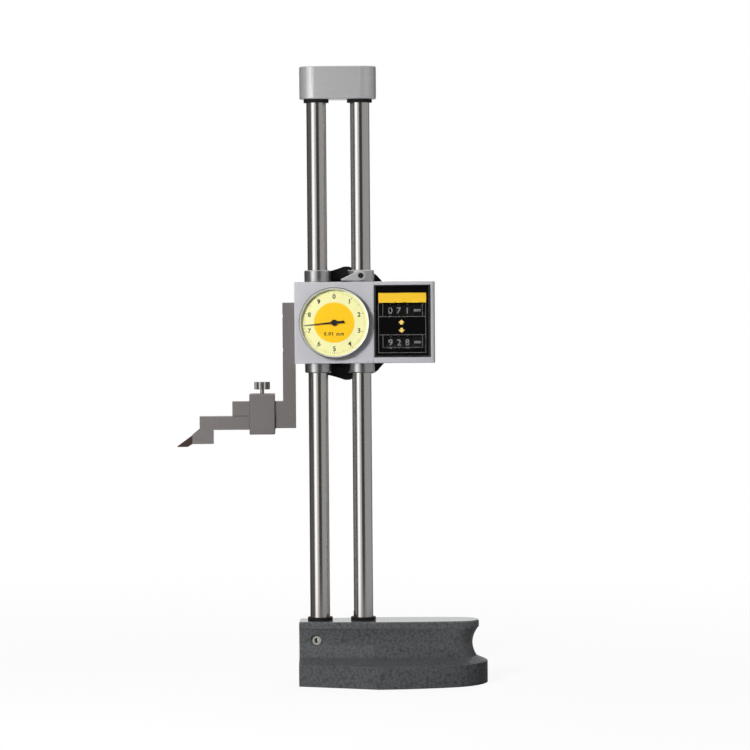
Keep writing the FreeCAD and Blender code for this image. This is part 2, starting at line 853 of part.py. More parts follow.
def measuring_arbor():
    return rod_y(measuring_x, measuring_z, arbor_d / 2, train_plate_y, block_back - 2.5)


def measuring_pinion():
    return gear(
        measuring_teeth,
        rack_module,
        rack_width,
        measuring_x,
        measuring_z,
        -rack_width / 2,
        measuring_tooth,
        arbor_d / 2,
    )


def measuring_gear():
    return gear(
        first_gear_teeth,
        first_module,
        gear_thick,
        measuring_x,
        measuring_z,
        rear_layer_y,
        first_gear_tooth,
        arbor_d / 2,
    )


def transfer_arbor():
    x, z = second_place
    return rod_y(x, z, arbor_d / 2, front_layer_y - 0.4, -block_front - 0.4)


def transfer_pinion():
    x, z = second_place
    return gear(
        first_pinion_teeth, first_module, gear_thick, x, z, rear_layer_y, first_pinion_tooth, arbor_d / 2
    )


def transfer_gear():
    x, z = second_place
    return gear(
        second_gear_teeth, second_module, gear_thick, x, z, front_layer_y, second_gear_tooth, arbor_d / 2
    )


def pointer_arbor():
    """The thin arbor through the dial's centre, with the last pinion's seat on it."""
    return rod_y(dial_x, dial_z, arbor_d / 2, hand_y - 0.8, train_plate_y + train_plate_thick)


def pointer_pinion():
    return gear(
        second_pinion_teeth, second_module, gear_thick, dial_x, dial_z, front_layer_y, second_pinion_tooth, arbor_d / 2
    )


def pointer():
    """The hand: a long thin blade, a short broad tail and a round hub, at the reading in the photograph."""
    turn = math.radians(90 - 3.6 * hand_reading)
    half = hand_width / 2

    def at(along, across):
        x = dial_x + along * math.cos(turn) - across * math.sin(turn)
        z = dial_z + along * math.sin(turn) + across * math.cos(turn)
        return V(x, hand_y, z)

    outline = [
        at(-hand_tail, -half * 1.3),
        at(0, -half),
        at(hand_length, -half * 0.2),
        at(hand_length, half * 0.2),
        at(0, half),
        at(-hand_tail, half * 1.3),
    ]
    blade = prism(outline, V(0, hand_thick, 0))
    hub = rod_y(dial_x, dial_z, hand_hub_r, hand_y - 0.5, hand_y + hand_thick)
    return blade.fuse(hub).removeSplitter().cut(rod_y(dial_x, dial_z, arbor_d / 2, hand_y - 2, hand_y + 2))


def spun(points):
    """Turns a section about the dial's axis. Each point is (radius, y)."""
    corners = [V(dial_x + radius, y, dial_z) for radius, y in points]
    face = Part.Face(Part.makePolygon(corners + corners[:1]))
    return face.revolve(V(dial_x, 0, dial_z), Y_AXIS, 360)


def bezel():
    """The turning ring that carries the dial face and the crystal."""
    inner = bezel_r - bezel_lip
    seat = inner + 0.5
    crystal_back = crystal_y + crystal_thick
    return spun(
        [
            (bezel_r, bezel_back_y),
            (bezel_r, bezel_front_y + 1.0),
            (bezel_r - 0.6, bezel_front_y),
            (inner, bezel_front_y),
            (inner, crystal_y),
            (seat, crystal_y),
            (seat, crystal_back),
            (inner, crystal_back),
            (inner, dial_face_y + dial_face_thick),
            (boss_r + sliding_gap, dial_face_y + dial_face_thick),
            (boss_r + sliding_gap, bezel_back_y),
        ]
    )


def dial_face():
    plate = rod_y(dial_x, dial_z, bezel_r - bezel_lip, dial_face_y, dial_face_y + dial_face_thick)
    return plate.cut(rod_y(dial_x, dial_z, arbor_d / 2 + loose_gap, dial_face_y - 1, dial_face_y + 2))


def crystal():
    return rod_y(dial_x, dial_z, bezel_r - bezel_lip + 0.5, crystal_y, crystal_y + crystal_thick)


def counter_housing():
    """The hollow box on the right that holds both counters, with its sight opening in front."""
    housing = rounded_plan(
        cover_right, counter_right, -cover_front, counter_back, carriage_bottom_z, carriage_top_z, edge_break
    )
    corner = rounded_plan(
        0, counter_right, -cover_front, cover_front, carriage_bottom_z, carriage_top_z, housing_corner_r
    )
    housing = housing.common(corner)
    housing = break_edges(housing, face_break, lambda e: lies_at(e, "y", -cover_front))
    housing = housing.cut(
        box(cover_right - 1, block_right, -block_front, counter_back + 1, carriage_bottom_z - 1, carriage_top_z + 1)
    )
    hollow = box(
        block_right + cover_wall / 2,
        counter_right - cover_wall,
        panel_back_y + pane_thick,
        counter_back - cover_wall,
        carriage_bottom_z + cover_wall,
        carriage_top_z - cover_wall,
    )
    sight = box(window_left, window_right, -cover_front - 1, panel_back_y + pane_thick, window_bottom, window_top)
    housing = housing.cut(hollow).cut(sight)
    for x, z in housing_screw_places():
        housing = housing.cut(rod_y(x, z, cover_screw_d / 2, -cover_front + 3, -block_front + 1))
    for z in (counter_up_z, counter_down_z):
        housing = housing.cut(
            rod_x(counter_axis_y, z, counter_shaft_d / 2, block_right - 1, counter_right + 1)
        )
    return housing


def counter_panel():
    """The black panel with a sight slot for each counter."""
    panel = box(window_left, window_right, panel_front_y, panel_back_y, window_bottom, window_top)
    for z in (counter_up_z, counter_down_z):
        panel = panel.cut(
            box(
                counter_sight_left,
                counter_sight_right,
                panel_front_y - 1,
                panel_back_y + 1,
                z - counter_sight_high / 2,
                z + counter_sight_high / 2,
            )
        )
    return panel


def counter_pane():
    """The clear sheet behind the panel's slots."""
    return box(window_left, window_right, panel_back_y, panel_back_y + pane_thick, window_bottom, window_top)


def label_plate():
    """A bare plate above the upper slot."""
    top = carriage_top_z - label_below_top
    plate = box(
        panel_mid_x - label_wide / 2,
        panel_mid_x + label_wide / 2,
        panel_front_y - label_thick,
        panel_front_y,
        top - label_high,
        top,
    )
    return plate


def counter_wheel(index, z):
    """A digit wheel: index 0 is the hundreds and 2 is the units."""
    x0 = counter_first_x + index * counter_wheel_step - counter_wheel_wide / 2
    x1 = x0 + counter_wheel_wide
    rim = rod_x(counter_axis_y, z, counter_wheel_r, x0, x1)
    rim = rim.cut(rod_x(counter_axis_y, z, counter_wheel_r - 2.0, x0 + 1.2, x1 + 1))
    hub = rod_x(counter_axis_y, z, counter_shaft_d / 2 + 1.6, x0, x1)
    bore = rod_x(counter_axis_y, z, counter_shaft_d / 2 + sliding_gap, x0 - 1, x1 + 1)
    return rim.fuse(hub).removeSplitter().cut(bore)


def counter_shaft(z):
    shaft = rod_x(counter_axis_y, z, counter_shaft_d / 2, block_right, counter_right)
    slot = box(counter_right - 0.7, counter_right + 1, counter_axis_y - 5, counter_axis_y + 5, z - 0.3, z + 0.3)
    return shaft.cut(slot)


def unit_plate(z):
    """The fixed plate on the right of each counter's wheels, where the unit is marked."""
    x0 = counter_first_x + 2.5 * counter_wheel_step + 0.4
    front = counter_axis_y - counter_wheel_r + 0.2
    plate = box(
        x0,
        x0 + unit_plate_wide,
        front,
        front + 1.5,
        z - counter_sight_high / 2 - 0.8,
        z + counter_sight_high / 2 + 0.8,
    )
    arm = box(
        x0 + 1.5,
        x0 + unit_plate_wide - 1.5,
        front + 1.5,
        counter_axis_y - counter_shaft_d / 2 - 1,
        z - 2.0,
        z + 2.0,
    )
    collar = rod_x(counter_axis_y, z, counter_shaft_d / 2 + 2.0, x0 + 1.5, x0 + unit_plate_wide - 1.5)
    bore = rod_x(counter_axis_y, z, counter_shaft_d / 2, x0, x0 + unit_plate_wide)
    return plate.fuse(arm).fuse(collar).removeSplitter().cut(bore)


def clamp_screw():
    """The screw that presses on the right column when the lever is turned."""
    z = clamp_z()
    back = -column_r - running_gap
    front = -bush_d / 2 - lever_thick - 1.2
    screw = rod_y(right_x, z, clamp_screw_d / 2, front, back)
    slot = box(right_x - clamp_screw_d, right_x + clamp_screw_d, front - 1, front + 0.7, z - 0.35, z + 0.35)
    return screw.cut(slot)


def clamp_lever():
    """A short tapered lever on the clamp screw, pointing to the dial's side."""
    z = clamp_z()
    y1 = -bush_d / 2 - 0.4
    y0 = y1 - lever_thick
    turn = math.radians(180 + lever_drop_angle)
    tip_x, tip_z = right_x + lever_length * math.cos(turn), z + lever_length * math.sin(turn)
    side = V(-math.sin(turn), 0, math.cos(turn))
    along = V(math.cos(turn), 0, math.sin(turn))
    hub_centre, tip_centre = V(right_x, y0, z), V(tip_x, y0, tip_z)
    outline = [
        Part.LineSegment(hub_centre + side * lever_hub_r, tip_centre + side * lever_tip_r),
        Part.Arc(
            tip_centre + side * lever_tip_r, tip_centre + along * lever_tip_r, tip_centre - side * lever_tip_r
        ),
        Part.LineSegment(tip_centre - side * lever_tip_r, hub_centre - side * lever_hub_r),
        Part.Arc(
            hub_centre - side * lever_hub_r, hub_centre - along * lever_hub_r, hub_centre + side * lever_hub_r
        ),
    ]
    lever = Part.Face(Part.Wire([e.toShape() for e in outline])).extrude(V(0, y1 - y0, 0))
    lever = round_edges(lever, 0.7, lambda e: lies_at(e, "y", y0))
    return lever.cut(rod_y(right_x, z, clamp_screw_d / 2, y0 - 1, y1 + 1))


def measuring_jaw():
    """The L-shaped arm on the carriage's left side: an upright bar, and a nose that holds the scriber."""
    y = -jaw_thick / 2
    outline = [
        V(jaw_right_x, y, jaw_bottom_z),
        V(jaw_right_x, y, jaw_top_z),
        V(jaw_left_x, y, jaw_top_z),
        V(jaw_left_x, y, nose_top_z),
        V(nose_left_x, y, nose_top_z),
        V(nose_left_x, y, nose_bottom_z),
        V(step_x, y, nose_bottom_z),
        V(step_x, y, jaw_bottom_z),
    ]
    jaw = prism(outline, V(0, jaw_thick, 0))
    jaw = break_edges(jaw, 0.4, lambda e: abs(e.BoundBox.YLength) < 1e-6)
    for z in jaw_screw_heights():
        jaw = jaw.cut(rod_x(0, z, side_screw_d / 2 + 0.2, jaw_left_x - 1, jaw_right_x + 1))
        jaw = jaw.cut(rod_x(0, z, side_screw_d * 0.8 - 0.4, jaw_left_x - 1, jaw_left_x + jaw_bar_wide * 0.5))
    return jaw


def jaw_screws():
    """Two socket head screws that hold the jaw to the carriage block, heads sunk in the bar's left side."""
    screws = []
    for z in jaw_screw_heights():
        head_r = side_screw_d * 0.8 - 0.6
        head_x = jaw_left_x + 1.0
        seat_x = jaw_left_x + jaw_bar_wide * 0.5
        head = rod_x(0, z, head_r, head_x, seat_x)
        shank = rod_x(0, z, side_screw_d / 2, seat_x, left_x - bush_d / 2 - jaw_screw_web)
        socket = [
            V(head_x, 2.2 * math.cos(math.radians(60 * i)), z + 2.2 * math.sin(math.radians(60 * i)))
            for i in range(6)
        ]
        screws.append(head.fuse(shank).removeSplitter().cut(prism(socket, V(2.4, 0, 0))))
    return screws


def scriber():
    """The scriber bar: a straight shank, a leg at its end and a bevelled toe that carries the hard tip."""
    y = -jaw_thick / 2
    toe_x = scriber_left_x - scriber_toe
    outline = [
        V(scriber_right_x, y, scriber_bottom_z),
        V(scriber_right_x, y, scriber_top_z),
        V(scriber_left_x, y, scriber_top_z),
        V(scriber_left_x, y, scriber_bottom_z + 1.2),
        V(toe_x, y, leg_bottom_z + scriber_toe_rise),
        V(toe_x, y, leg_bottom_z),
        V(scriber_left_x + scriber_leg_wide, y, leg_bottom_z),
        V(scriber_left_x + scriber_leg_wide, y, scriber_bottom_z),
    ]
    bar = prism(outline, V(0, jaw_thick, 0))
    return break_edges(bar, 0.3, lambda e: lies_at(e, "z", scriber_top_z) and e.BoundBox.XLength > 5)


def scriber_tip():
    """The hard metal blade brazed to the toe. Its flat underside is the measuring face."""
    y = -jaw_thick / 2
    toe_x = scriber_left_x - scriber_toe
    outline = [
        V(toe_x, y, leg_bottom_z),
        V(toe_x, y, leg_bottom_z + scriber_toe_rise - 0.5),
        V(toe_x - tip_reach, y, tip_bottom_z + 0.5),
        V(toe_x - tip_reach, y, tip_bottom_z),
        V(toe_x - 3.6, y, tip_bottom_z),
    ]
    return prism(outline, V(0, jaw_thick, 0))


def clamp_box():
    """The square sleeve that pulls the scriber up against the jaw's nose."""
    z0, z1 = scriber_bottom_z - box_bottom_wall - sliding_gap, nose_top_z + box_top_wall
    half_y = jaw_thick / 2 + sliding_gap
    sleeve = box(box_left_x, box_right_x, -half_y - box_side_wall, half_y + box_side_wall, z0, z1)
    sleeve = break_edges(sleeve, 0.5, lambda e: True)
    window = box(
        box_left_x - 1, box_right_x + 1, -half_y, half_y, scriber_bottom_z - sliding_gap, nose_top_z + sliding_gap
    )
    thread = rod_z(box_mid_x, 0, thumb_screw_d / 2 + running_gap, z1 - box_top_wall - 1, z1 + 1)
    return sleeve.cut(window).cut(thread)


def thumb_screw():
    """The knurled screw on top of the clamp box."""
    top = nose_top_z + box_top_wall
    shank = rod_z(box_mid_x, 0, thumb_screw_d / 2, nose_top_z + 2 * sliding_gap, top + thumb_head_lift)
    head_z = top + thumb_head_lift
    points = []
    for i in range(thumb_groove_count):
        for share, radius in ((0.0, 1.0), (0.5, 1.0), (0.75, 0.93)):
            angle = 2 * math.pi * (i + share) / thumb_groove_count
            r = thumb_head_d / 2 * radius
            points.append(V(box_mid_x + r * math.cos(angle), r * math.sin(angle), head_z))
    head = prism(points, V(0, 0, thumb_head_high))
    return shank.fuse(head).removeSplitter()


def pieces():
    """Every node's name and its solids."""
    made = {
        "base_casting": [base_casting()],
        "column_left": [column(left_x)],
        "column_right": [column_right()],
        "feed_rack": [rack()],
        "buffer_rings": buffer_rings(),
        "top_cap": [top_cap()],
        "foot_bolts": foot_bolts(),
        "column_set_screws": column_set_screws(),
        "cap_set_screws": cap_set_screws(),
        "carriage_block": [carriage_block()],
        "bush_upper_left": [bush(left_x, True)],
        "bush_upper_right": [clamped_bush()],
        "bush_lower_left": [bush(left_x, False)],
        "bush_lower_right": [bush(right_x, False)],
        "dial_cover": [dial_cover()],
        "cover_screws": cover_screws(),
        "train_plate": [train_plate()],
        "plate_screws": plate_screws(),
        "feed_shaft": [feed_shaft()],
        "feed_pinion": [feed_pinion()],
        "feed_bush": [feed_bush()],
        "feed_wheel": [feed_wheel()],
        "wheel_screw": [wheel_screw()],
        "measuring_arbor": [measuring_arbor()],
        "measuring_pinion": [measuring_pinion()],
        "measuring_gear": [measuring_gear()],
        "transfer_arbor": [transfer_arbor()],
        "transfer_pinion": [transfer_pinion()],
        "transfer_gear": [transfer_gear()],
        "pointer_arbor": [pointer_arbor()],
        "pointer_pinion": [pointer_pinion()],
        "pointer": [pointer()],
        "bezel": [bezel()],
        "dial_face": [dial_face()],
        "crystal": [crystal()],
        "counter_housing": [counter_housing()],
        "counter_panel": [counter_panel()],
        "counter_pane": [counter_pane()],
        "label_plate": [label_plate()],
        "counter_shafts": [counter_shaft(counter_up_z), counter_shaft(counter_down_z)],
        "unit_plates": [unit_plate(counter_up_z), unit_plate(counter_down_z)],
        "clamp_lever": [clamp_lever()],
        "clamp_screw": [clamp_screw()],
        "measuring_jaw": [measuring_jaw()],
        "jaw_screws": jaw_screws(),
        "scriber": [scriber()],
        "scriber_tip": [scriber_tip()],
        "clamp_box": [clamp_box()],
        "thumb_screw": [thumb_screw()],
    }
    for way, z in (("up", counter_up_z), ("down", counter_down_z)):
        for index, place in enumerate(("hundreds", "tens", "units")):
            made[f"{way}_{place}_wheel"] = [counter_wheel(index, z)]
    return made


def export(made):
    os.makedirs("parts", exist_ok=True)
    for name, solids in made.items():
        shape = solids[0] if len(solids) == 1 else Part.makeCompound(solids)
        shape.exportStep(f"parts/{name}.step")


export(pieces())
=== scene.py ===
"""The looks of a twin-column dial height gauge: finishes, dial markings, counter digits and the studio."""

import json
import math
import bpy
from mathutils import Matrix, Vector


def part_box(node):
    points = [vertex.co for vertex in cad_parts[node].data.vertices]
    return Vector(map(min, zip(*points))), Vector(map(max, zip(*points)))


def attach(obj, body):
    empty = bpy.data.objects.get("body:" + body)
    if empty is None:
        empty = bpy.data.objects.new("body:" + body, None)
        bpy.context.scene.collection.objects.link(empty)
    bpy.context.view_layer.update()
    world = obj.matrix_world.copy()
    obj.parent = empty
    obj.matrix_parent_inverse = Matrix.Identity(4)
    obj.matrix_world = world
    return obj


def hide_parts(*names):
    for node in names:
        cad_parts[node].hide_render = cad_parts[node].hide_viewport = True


bl_info = {
    "name": "Dial height gauge",
    "version": (1, 0, 0),
    "blender": (4, 5, 0),
    "location": "3D View > Sidebar > Height gauge",
    "description": "Finishes and small details of a dial height gauge, with its studio",
    "category": "Object",
}

import bpy
from mathutils import Vector

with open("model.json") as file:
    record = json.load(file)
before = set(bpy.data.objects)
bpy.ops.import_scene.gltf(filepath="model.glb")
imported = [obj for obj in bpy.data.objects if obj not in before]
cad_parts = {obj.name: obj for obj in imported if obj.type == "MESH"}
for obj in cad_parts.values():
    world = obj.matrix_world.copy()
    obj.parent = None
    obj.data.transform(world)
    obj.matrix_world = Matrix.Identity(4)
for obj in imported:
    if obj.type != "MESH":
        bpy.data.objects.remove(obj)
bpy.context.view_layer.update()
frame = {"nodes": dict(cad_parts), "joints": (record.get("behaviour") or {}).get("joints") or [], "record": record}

MM = 0.001
FRONT = (math.pi / 2, 0.0, 0.0)
WHITE = (1.0, 1.0, 1.0, 1.0)
DIGITS = 10

# Sizes that several pieces share, and the share of a font's size that a digit is high
RING_STEPS = 128
WELD_DISTANCE = 0.001 * MM
MARK_THICKNESS = 0.06 * MM
FINE_BEVEL = 0.02 * MM
DIGIT_SHARE = 0.72

# The numbers of the Mix node's sockets for colours
MIX_FACTOR, MIX_FIRST, MIX_SECOND, MIX_RESULT = 0, 6, 7, 2

# Scratches to the metre along each axis: few where the scratches run and many across them
TURNED = (60.0, 60.0, 1800.0)
PLATED = (60.0, 60.0, 1500.0)
GROUND = (1500.0, 60.0, 90.0)
MILLED = (900.0, 60.0, 900.0)
ROLLED = (1200.0, 80.0, 80.0)

BEZEL_BLACK = (0.016, 0.015, 0.015)

# The greys of the studio's walls by bearing, where 0 and 1 are behind the gauge, 0.25 is on its left
# and 0.5 is at the camera
WALL_GREYS = [
    (0.0, 1.0),
    (0.05, 1.0),
    (0.07, 0.06),
    (0.15, 0.06),
    (0.2, 0.12),
    (0.33, 0.12),
    (0.36, 1.6),
    (0.41, 1.6),
    (0.43, 0.75),
    (0.46, 0.7),
    (0.48, 0.45),
    (0.6, 0.4),
    (0.64, 0.42),
    (0.84, 0.42),
    (0.87, 0.12),
    (0.93, 0.12),
    (0.95, 1.0),
]


# Places that the frame gives


def middle(node):
    """The middle of a CAD node's box."""
    low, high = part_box(node)
    return (low + high) / 2


def joint_place(name):
    """A point on a joint's axis."""
    for joint in frame["joints"]:
        if joint["name"] == name:
            return Vector(joint["pos_m"])
    raise ValueError(f"the frame has no joint named {name}")


dial_centre = joint_place("pointer_turn")
dial_face_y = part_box("dial_face")[0].y
bezel_low, bezel_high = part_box("bezel")
bezel_radius = (bezel_high.x - bezel_low.x) / 2
panel_low, panel_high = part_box("counter_panel")
label_low, label_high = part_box("label_plate")
counters = {way: joint_place(f"{way}_units_turn") for way in ("up", "down")}
places = ("hundreds", "tens", "units")
wheel_radius = (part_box("up_units_wheel")[1].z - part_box("up_units_wheel")[0].z) / 2
shown_digits = {"up": (0, 7, 1), "down": (9, 2, 8)}


# Sizes and colours that a user would change


class DialSettings(bpy.types.PropertyGroup):
    """The markings of the dial."""

    number_radius: bpy.props.FloatProperty(
        name="Number radius",
        description="From the dial's centre to the middle of each number",
        default=19.4 * MM,
        unit="LENGTH",
    )
    number_height: bpy.props.FloatProperty(
        name="Number height", description="Height of the dial's numbers", default=3.4 * MM, unit="LENGTH"
    )
    tick_outer: bpy.props.FloatProperty(
        name="Graduation radius",
        description="From the dial's centre to the outer end of the graduations",
        default=23.4 * MM,
        unit="LENGTH",
    )
    disc_radius: bpy.props.FloatProperty(
        name="Disc radius", description="Radius of the coloured middle of the dial",
        default=15.0 * MM, unit="LENGTH",
    )
    bevel_inner: bpy.props.FloatProperty(
        name="Bevel inner radius",
        description="Inner radius of the sloping ring round the dial",
        default=24.6 * MM,
        unit="LENGTH",
    )
    bevel_slope: bpy.props.FloatProperty(
        name="Bevel slope", description="How far the ring round the dial slopes inwards",
        default=math.radians(20.0),
        unit="ROTATION",
    )
    amber: bpy.props.FloatVectorProperty(
        name="Amber", description="Colour of the dial's middle",
        subtype="COLOR", default=(0.96, 0.56, 0.008), size=3,
    )
    ink: bpy.props.FloatVectorProperty(
        name="Ink", description="Colour of the markings",
        subtype="COLOR", default=(0.03, 0.03, 0.02), size=3,
    )


class CounterSettings(bpy.types.PropertyGroup):
    """The markings of the counters and their panel, and the painted shadow round the counters' window."""

    digit_height: bpy.props.FloatProperty(
        name="Digit height", description="Height of the digits on the wheels",
        default=4.9 * MM, unit="LENGTH",
    )
    line_width: bpy.props.FloatProperty(
        name="Line width", description="Width of the thin frame on the panel",
        default=0.45 * MM, unit="LENGTH",
    )
    # The dark edge round the window is a painted shadow: a dark border that stands in for the shade in the
    # window's recess
    edge_width: bpy.props.FloatProperty(
        name="Painted shadow width", description="Width of the dark edge beside the window",
        default=1.4 * MM, unit="LENGTH",
    )
    edge_height: bpy.props.FloatProperty(
        name="Painted shadow height", description="Height of the dark edge above and below the window",
        default=0.9 * MM, unit="LENGTH",
    )
    digit_white: bpy.props.FloatVectorProperty(
        name="Digit white", description="Colour of the digits",
        subtype="COLOR", default=(0.27, 0.27, 0.26), size=3,
    )
    line_grey: bpy.props.FloatVectorProperty(
        name="Line grey", description="Colour of the panel's frame",
        subtype="COLOR", default=(0.13, 0.13, 0.125), size=3,
    )
    arrow_yellow: bpy.props.FloatVectorProperty(
        name="Arrow yellow", description="Colour of the arrows",
        subtype="COLOR", default=(0.88, 0.62, 0.16), size=3,
    )


class FinishSettings(bpy.types.PropertyGroup):
    """The colours of the metal, the paint, the label and the dial face."""

    paint: bpy.props.FloatVectorProperty(
        name="Paint", description="Colour of the base's paint",
        subtype="COLOR", default=(0.096, 0.102, 0.106), size=3,
    )
    casting: bpy.props.FloatVectorProperty(
        name="Casting", description="Colour of the carriage",
        subtype="COLOR", default=(0.62, 0.62, 0.655), size=3,
    )
    column: bpy.props.FloatVectorProperty(
        name="Column", description="Colour of the ground columns",
        subtype="COLOR", default=(0.66, 0.64, 0.62), size=3,
    )
    jaw: bpy.props.FloatVectorProperty(
        name="Jaw", description="Colour of the jaw and scriber",
        subtype="COLOR", default=(0.30, 0.277, 0.27), size=3,
    )
    chrome: bpy.props.FloatVectorProperty(
        name="Chrome", description="Colour of the satin plating",
        subtype="COLOR", default=(0.62, 0.62, 0.63), size=3,
    )
    label: bpy.props.FloatVectorProperty(
        name="Label", description="Colour of the bare label",
        subtype="COLOR", default=(0.9, 0.56, 0.03), size=3,
    )
    cream: bpy.props.FloatVectorProperty(
        name="Cream", description="Colour of the dial face",
        subtype="COLOR", default=(0.86, 0.84, 0.42), size=3,
    )


class StageSettings(bpy.types.PropertyGroup):
    """The camera, the floor and the lamps."""

    camera_distance: bpy.props.FloatProperty(
        name="Camera distance", description="From the camera to the columns' plane",
        default=2.36, unit="LENGTH",
    )
    camera_height: bpy.props.FloatProperty(
        name="Camera height", description="Height of the camera above the floor",
        default=0.31, unit="LENGTH",
    )
    camera_x: bpy.props.FloatProperty(
        name="Camera side step", description="The camera's place along X", default=0.027, unit="LENGTH"
    )
    camera_pitch: bpy.props.FloatProperty(
        name="Camera pitch", description="How far the camera looks down",
        default=math.radians(1.9), unit="ROTATION",
    )
    camera_roll: bpy.props.FloatProperty(
        name="Camera roll", description="Turn of the camera about its own axis", default=math.radians(0.44),
        unit="ROTATION",
    )
    camera_lens: bpy.props.FloatProperty(
        name="Lens", description="Focal length on a 36 mm sensor, in millimetres", default=150.6
    )
    key_power: bpy.props.FloatProperty(
        name="Key lamp power", description="Power of the main lamp, near the camera on its left",
        default=4.65, unit="POWER",
    )
    fill_power: bpy.props.FloatProperty(
        name="Fill lamp power", description="Power of the weak lamp on the right", default=1.7, unit="POWER"
    )
    back_power: bpy.props.FloatProperty(
        name="Back lamp power", description="Power of the lamp behind the gauge", default=7.0, unit="POWER"
    )
    world_strength: bpy.props.FloatProperty(
        name="World strength", description="How bright the surroundings are", default=0.12
    )
    floor_colour: bpy.props.FloatVectorProperty(
        name="Floor", description="Colour of the floor", subtype="COLOR", default=(0.93, 0.93, 0.93), size=3
    )


# Material helpers


class Value:
    """A socket that takes part in Python expressions."""

    def __init__(self, finish, socket):
        self.finish = finish
        self.socket = socket

    def __add__(self, other):
        return self.finish.math("ADD", self, other)

    def __radd__(self, other):
        return self.finish.math("ADD", other, self)

    def __mul__(self, other):
        return self.finish.math("MULTIPLY", self, other)

    def __rmul__(self, other):
        return self.finish.math("MULTIPLY", other, self)


class Finish:
    """A procedural material that is built from expressions on its sockets."""

    def __init__(self, name, colour, **constants):
        self.material = bpy.data.materials.new(name)
        self.material.use_nodes = True
        self.tree = self.material.node_tree
        self.output = self.tree.nodes["Material Output"]
        self.shader = self.tree.nodes["Principled BSDF"]
        self.put(self.shader.inputs["Base Color"], (*colour, 1.0))
        for key, value in constants.items():
            self.put(self.shader.inputs[key.replace("_", " ").title().replace("Ior", "IOR")], value)

    def put(self, socket, value):
        """Links a socket to a value, or sets it."""
        if isinstance(value, Value):
            self.tree.links.new(value.socket, socket)
        else:
            socket.default_value = value

    def node(self, kind, settings=None, inputs=None, output=0):
        """Adds any node: its settings first, then its sockets by name or number."""
        made = self.tree.nodes.new(kind)
        for key, value in (settings or {}).items():
            if key == "stops":
                self.set_stops(made.color_ramp, value)
            else:
                setattr(made, key, value)
        for key, value in (inputs or {}).items():
            self.put(made.inputs[key], value)
        return Value(self, made.outputs[output])

    def set_stops(self, ramp, stops):
        """Gives a colour ramp its greys, each at its place."""
        for place, _ in stops[len(ramp.elements):]:
            ramp.elements.new(place)
        for element, (place, shade) in zip(ramp.elements, stops):
            element.position = place
            element.color = (shade, shade, shade, 1.0)

    def math(self, operation, first, second):
        return self.node("ShaderNodeMath", {"operation": operation}, {0: first, 1: second})

    def place(self, scale=(1.0, 1.0, 1.0)):
        """Object coordinates, stretched."""
        coords = self.node("ShaderNodeTexCoord", output="Object")
        return self.node("ShaderNodeMapping", None, {"Vector": coords, "Scale": scale})

    def along(self, place, axis):
        """One coordinate of a place."""
        return self.node("ShaderNodeSeparateXYZ", None, {0: place}, output=axis)

    def noise(self, scale, detail=2.0, roughness=0.5, vector=None):
        return self.node(
            "ShaderNodeTexNoise",
            None,
            {"Vector": vector or self.place(), "Scale": scale, "Detail": detail, "Roughness": roughness},
        )

    def blend(self, factor, first, second):
        """A mix of two colours."""
        colours = [(*colour, 1.0) if isinstance(colour, tuple) else colour for colour in (first, second)]
        inputs = {MIX_FACTOR: factor, MIX_FIRST: colours[0], MIX_SECOND: colours[1]}
        return self.node("ShaderNodeMix", {"data_type": "RGBA"}, inputs, MIX_RESULT)

    def ramp(self, stops, value):
        """A colour ramp of greys."""
        return self.node("ShaderNodeValToRGB", {"stops": stops}, {0: value})

    def grey(self, stops, value):
        """A colour ramp of greys, as a number."""
        return self.node("ShaderNodeRGBToBW", None, {0: self.ramp(stops, value)})

    def stripes(self, place):
        """The grey of the studio's walls, by bearing from the gauge."""
        x, y = self.along(place, "X"), self.along(place, "Y")
        bearing = 0.5 + self.math("ARCTAN2", x, -1.0 * y) * (0.5 / math.pi)
        return self.ramp(WALL_GREYS, bearing)

    def ray(self, kind):
        """1 for rays of one kind and 0 for the others."""
        return self.node("ShaderNodeLightPath", output=f"Is {kind} Ray")

    def glow(self, colour, strength=1.0):
        return self.node("ShaderNodeEmission", None, {"Color": colour, "Strength": strength})

    def mixed(self, factor, first, second):
        """A mix of two shaders."""
        return self.node("ShaderNodeMixShader", None, {0: factor, 1: first, 2: second})

    def surface(self, value):
        self.put(self.output.inputs["Surface"], value)

    def colour(self, pattern, colour, start, end):
        """A colour that runs from one shade of itself to another, as the pattern does."""
        value = self.blend(pattern, shade(colour, start), shade(colour, end))
        self.put(self.shader.inputs["Base Color"], value)

    def rough(self, pattern, start, end):
        """Roughness that runs from start to end, as the pattern does."""
        self.put(self.shader.inputs["Roughness"], start + (end - start) * pattern)

    def bump(self, height, strength, distance):
        inputs = {"Strength": strength, "Distance": distance, "Height": height}
        self.put(self.shader.inputs["Normal"], self.node("ShaderNodeBump", None, inputs))


class Surround(Finish):
    """The world's light, built from the same expressions."""

    def __init__(self, world):
        self.tree = world.node_tree
        self.tree.nodes.clear()
        self.output = self.tree.nodes.new("ShaderNodeOutputWorld")

    def shine(self, colour, strength=1.0):
        return self.node("ShaderNodeBackground", None, {"Color": colour, "Strength": strength})

    def walls(self):
        """The grey of the studio's walls by direction, which polished metal shows as upright stripes."""
        ceiling, ceiling_rise = (0.95, 0.95, 0.95), [(0.0, 0.0), (0.35, 0.0), (0.8, 1.0)]
        direction = self.node("ShaderNodeTexCoord", output="Generated")
        height = self.ramp(ceiling_rise, self.along(direction, "Z"))
        return self.blend(height, self.stripes(direction), ceiling)


def shade(colour, factor):
    """A lighter or darker version of a colour."""
    return tuple(min(1.0, channel * factor) for channel in colour)


# Finishes


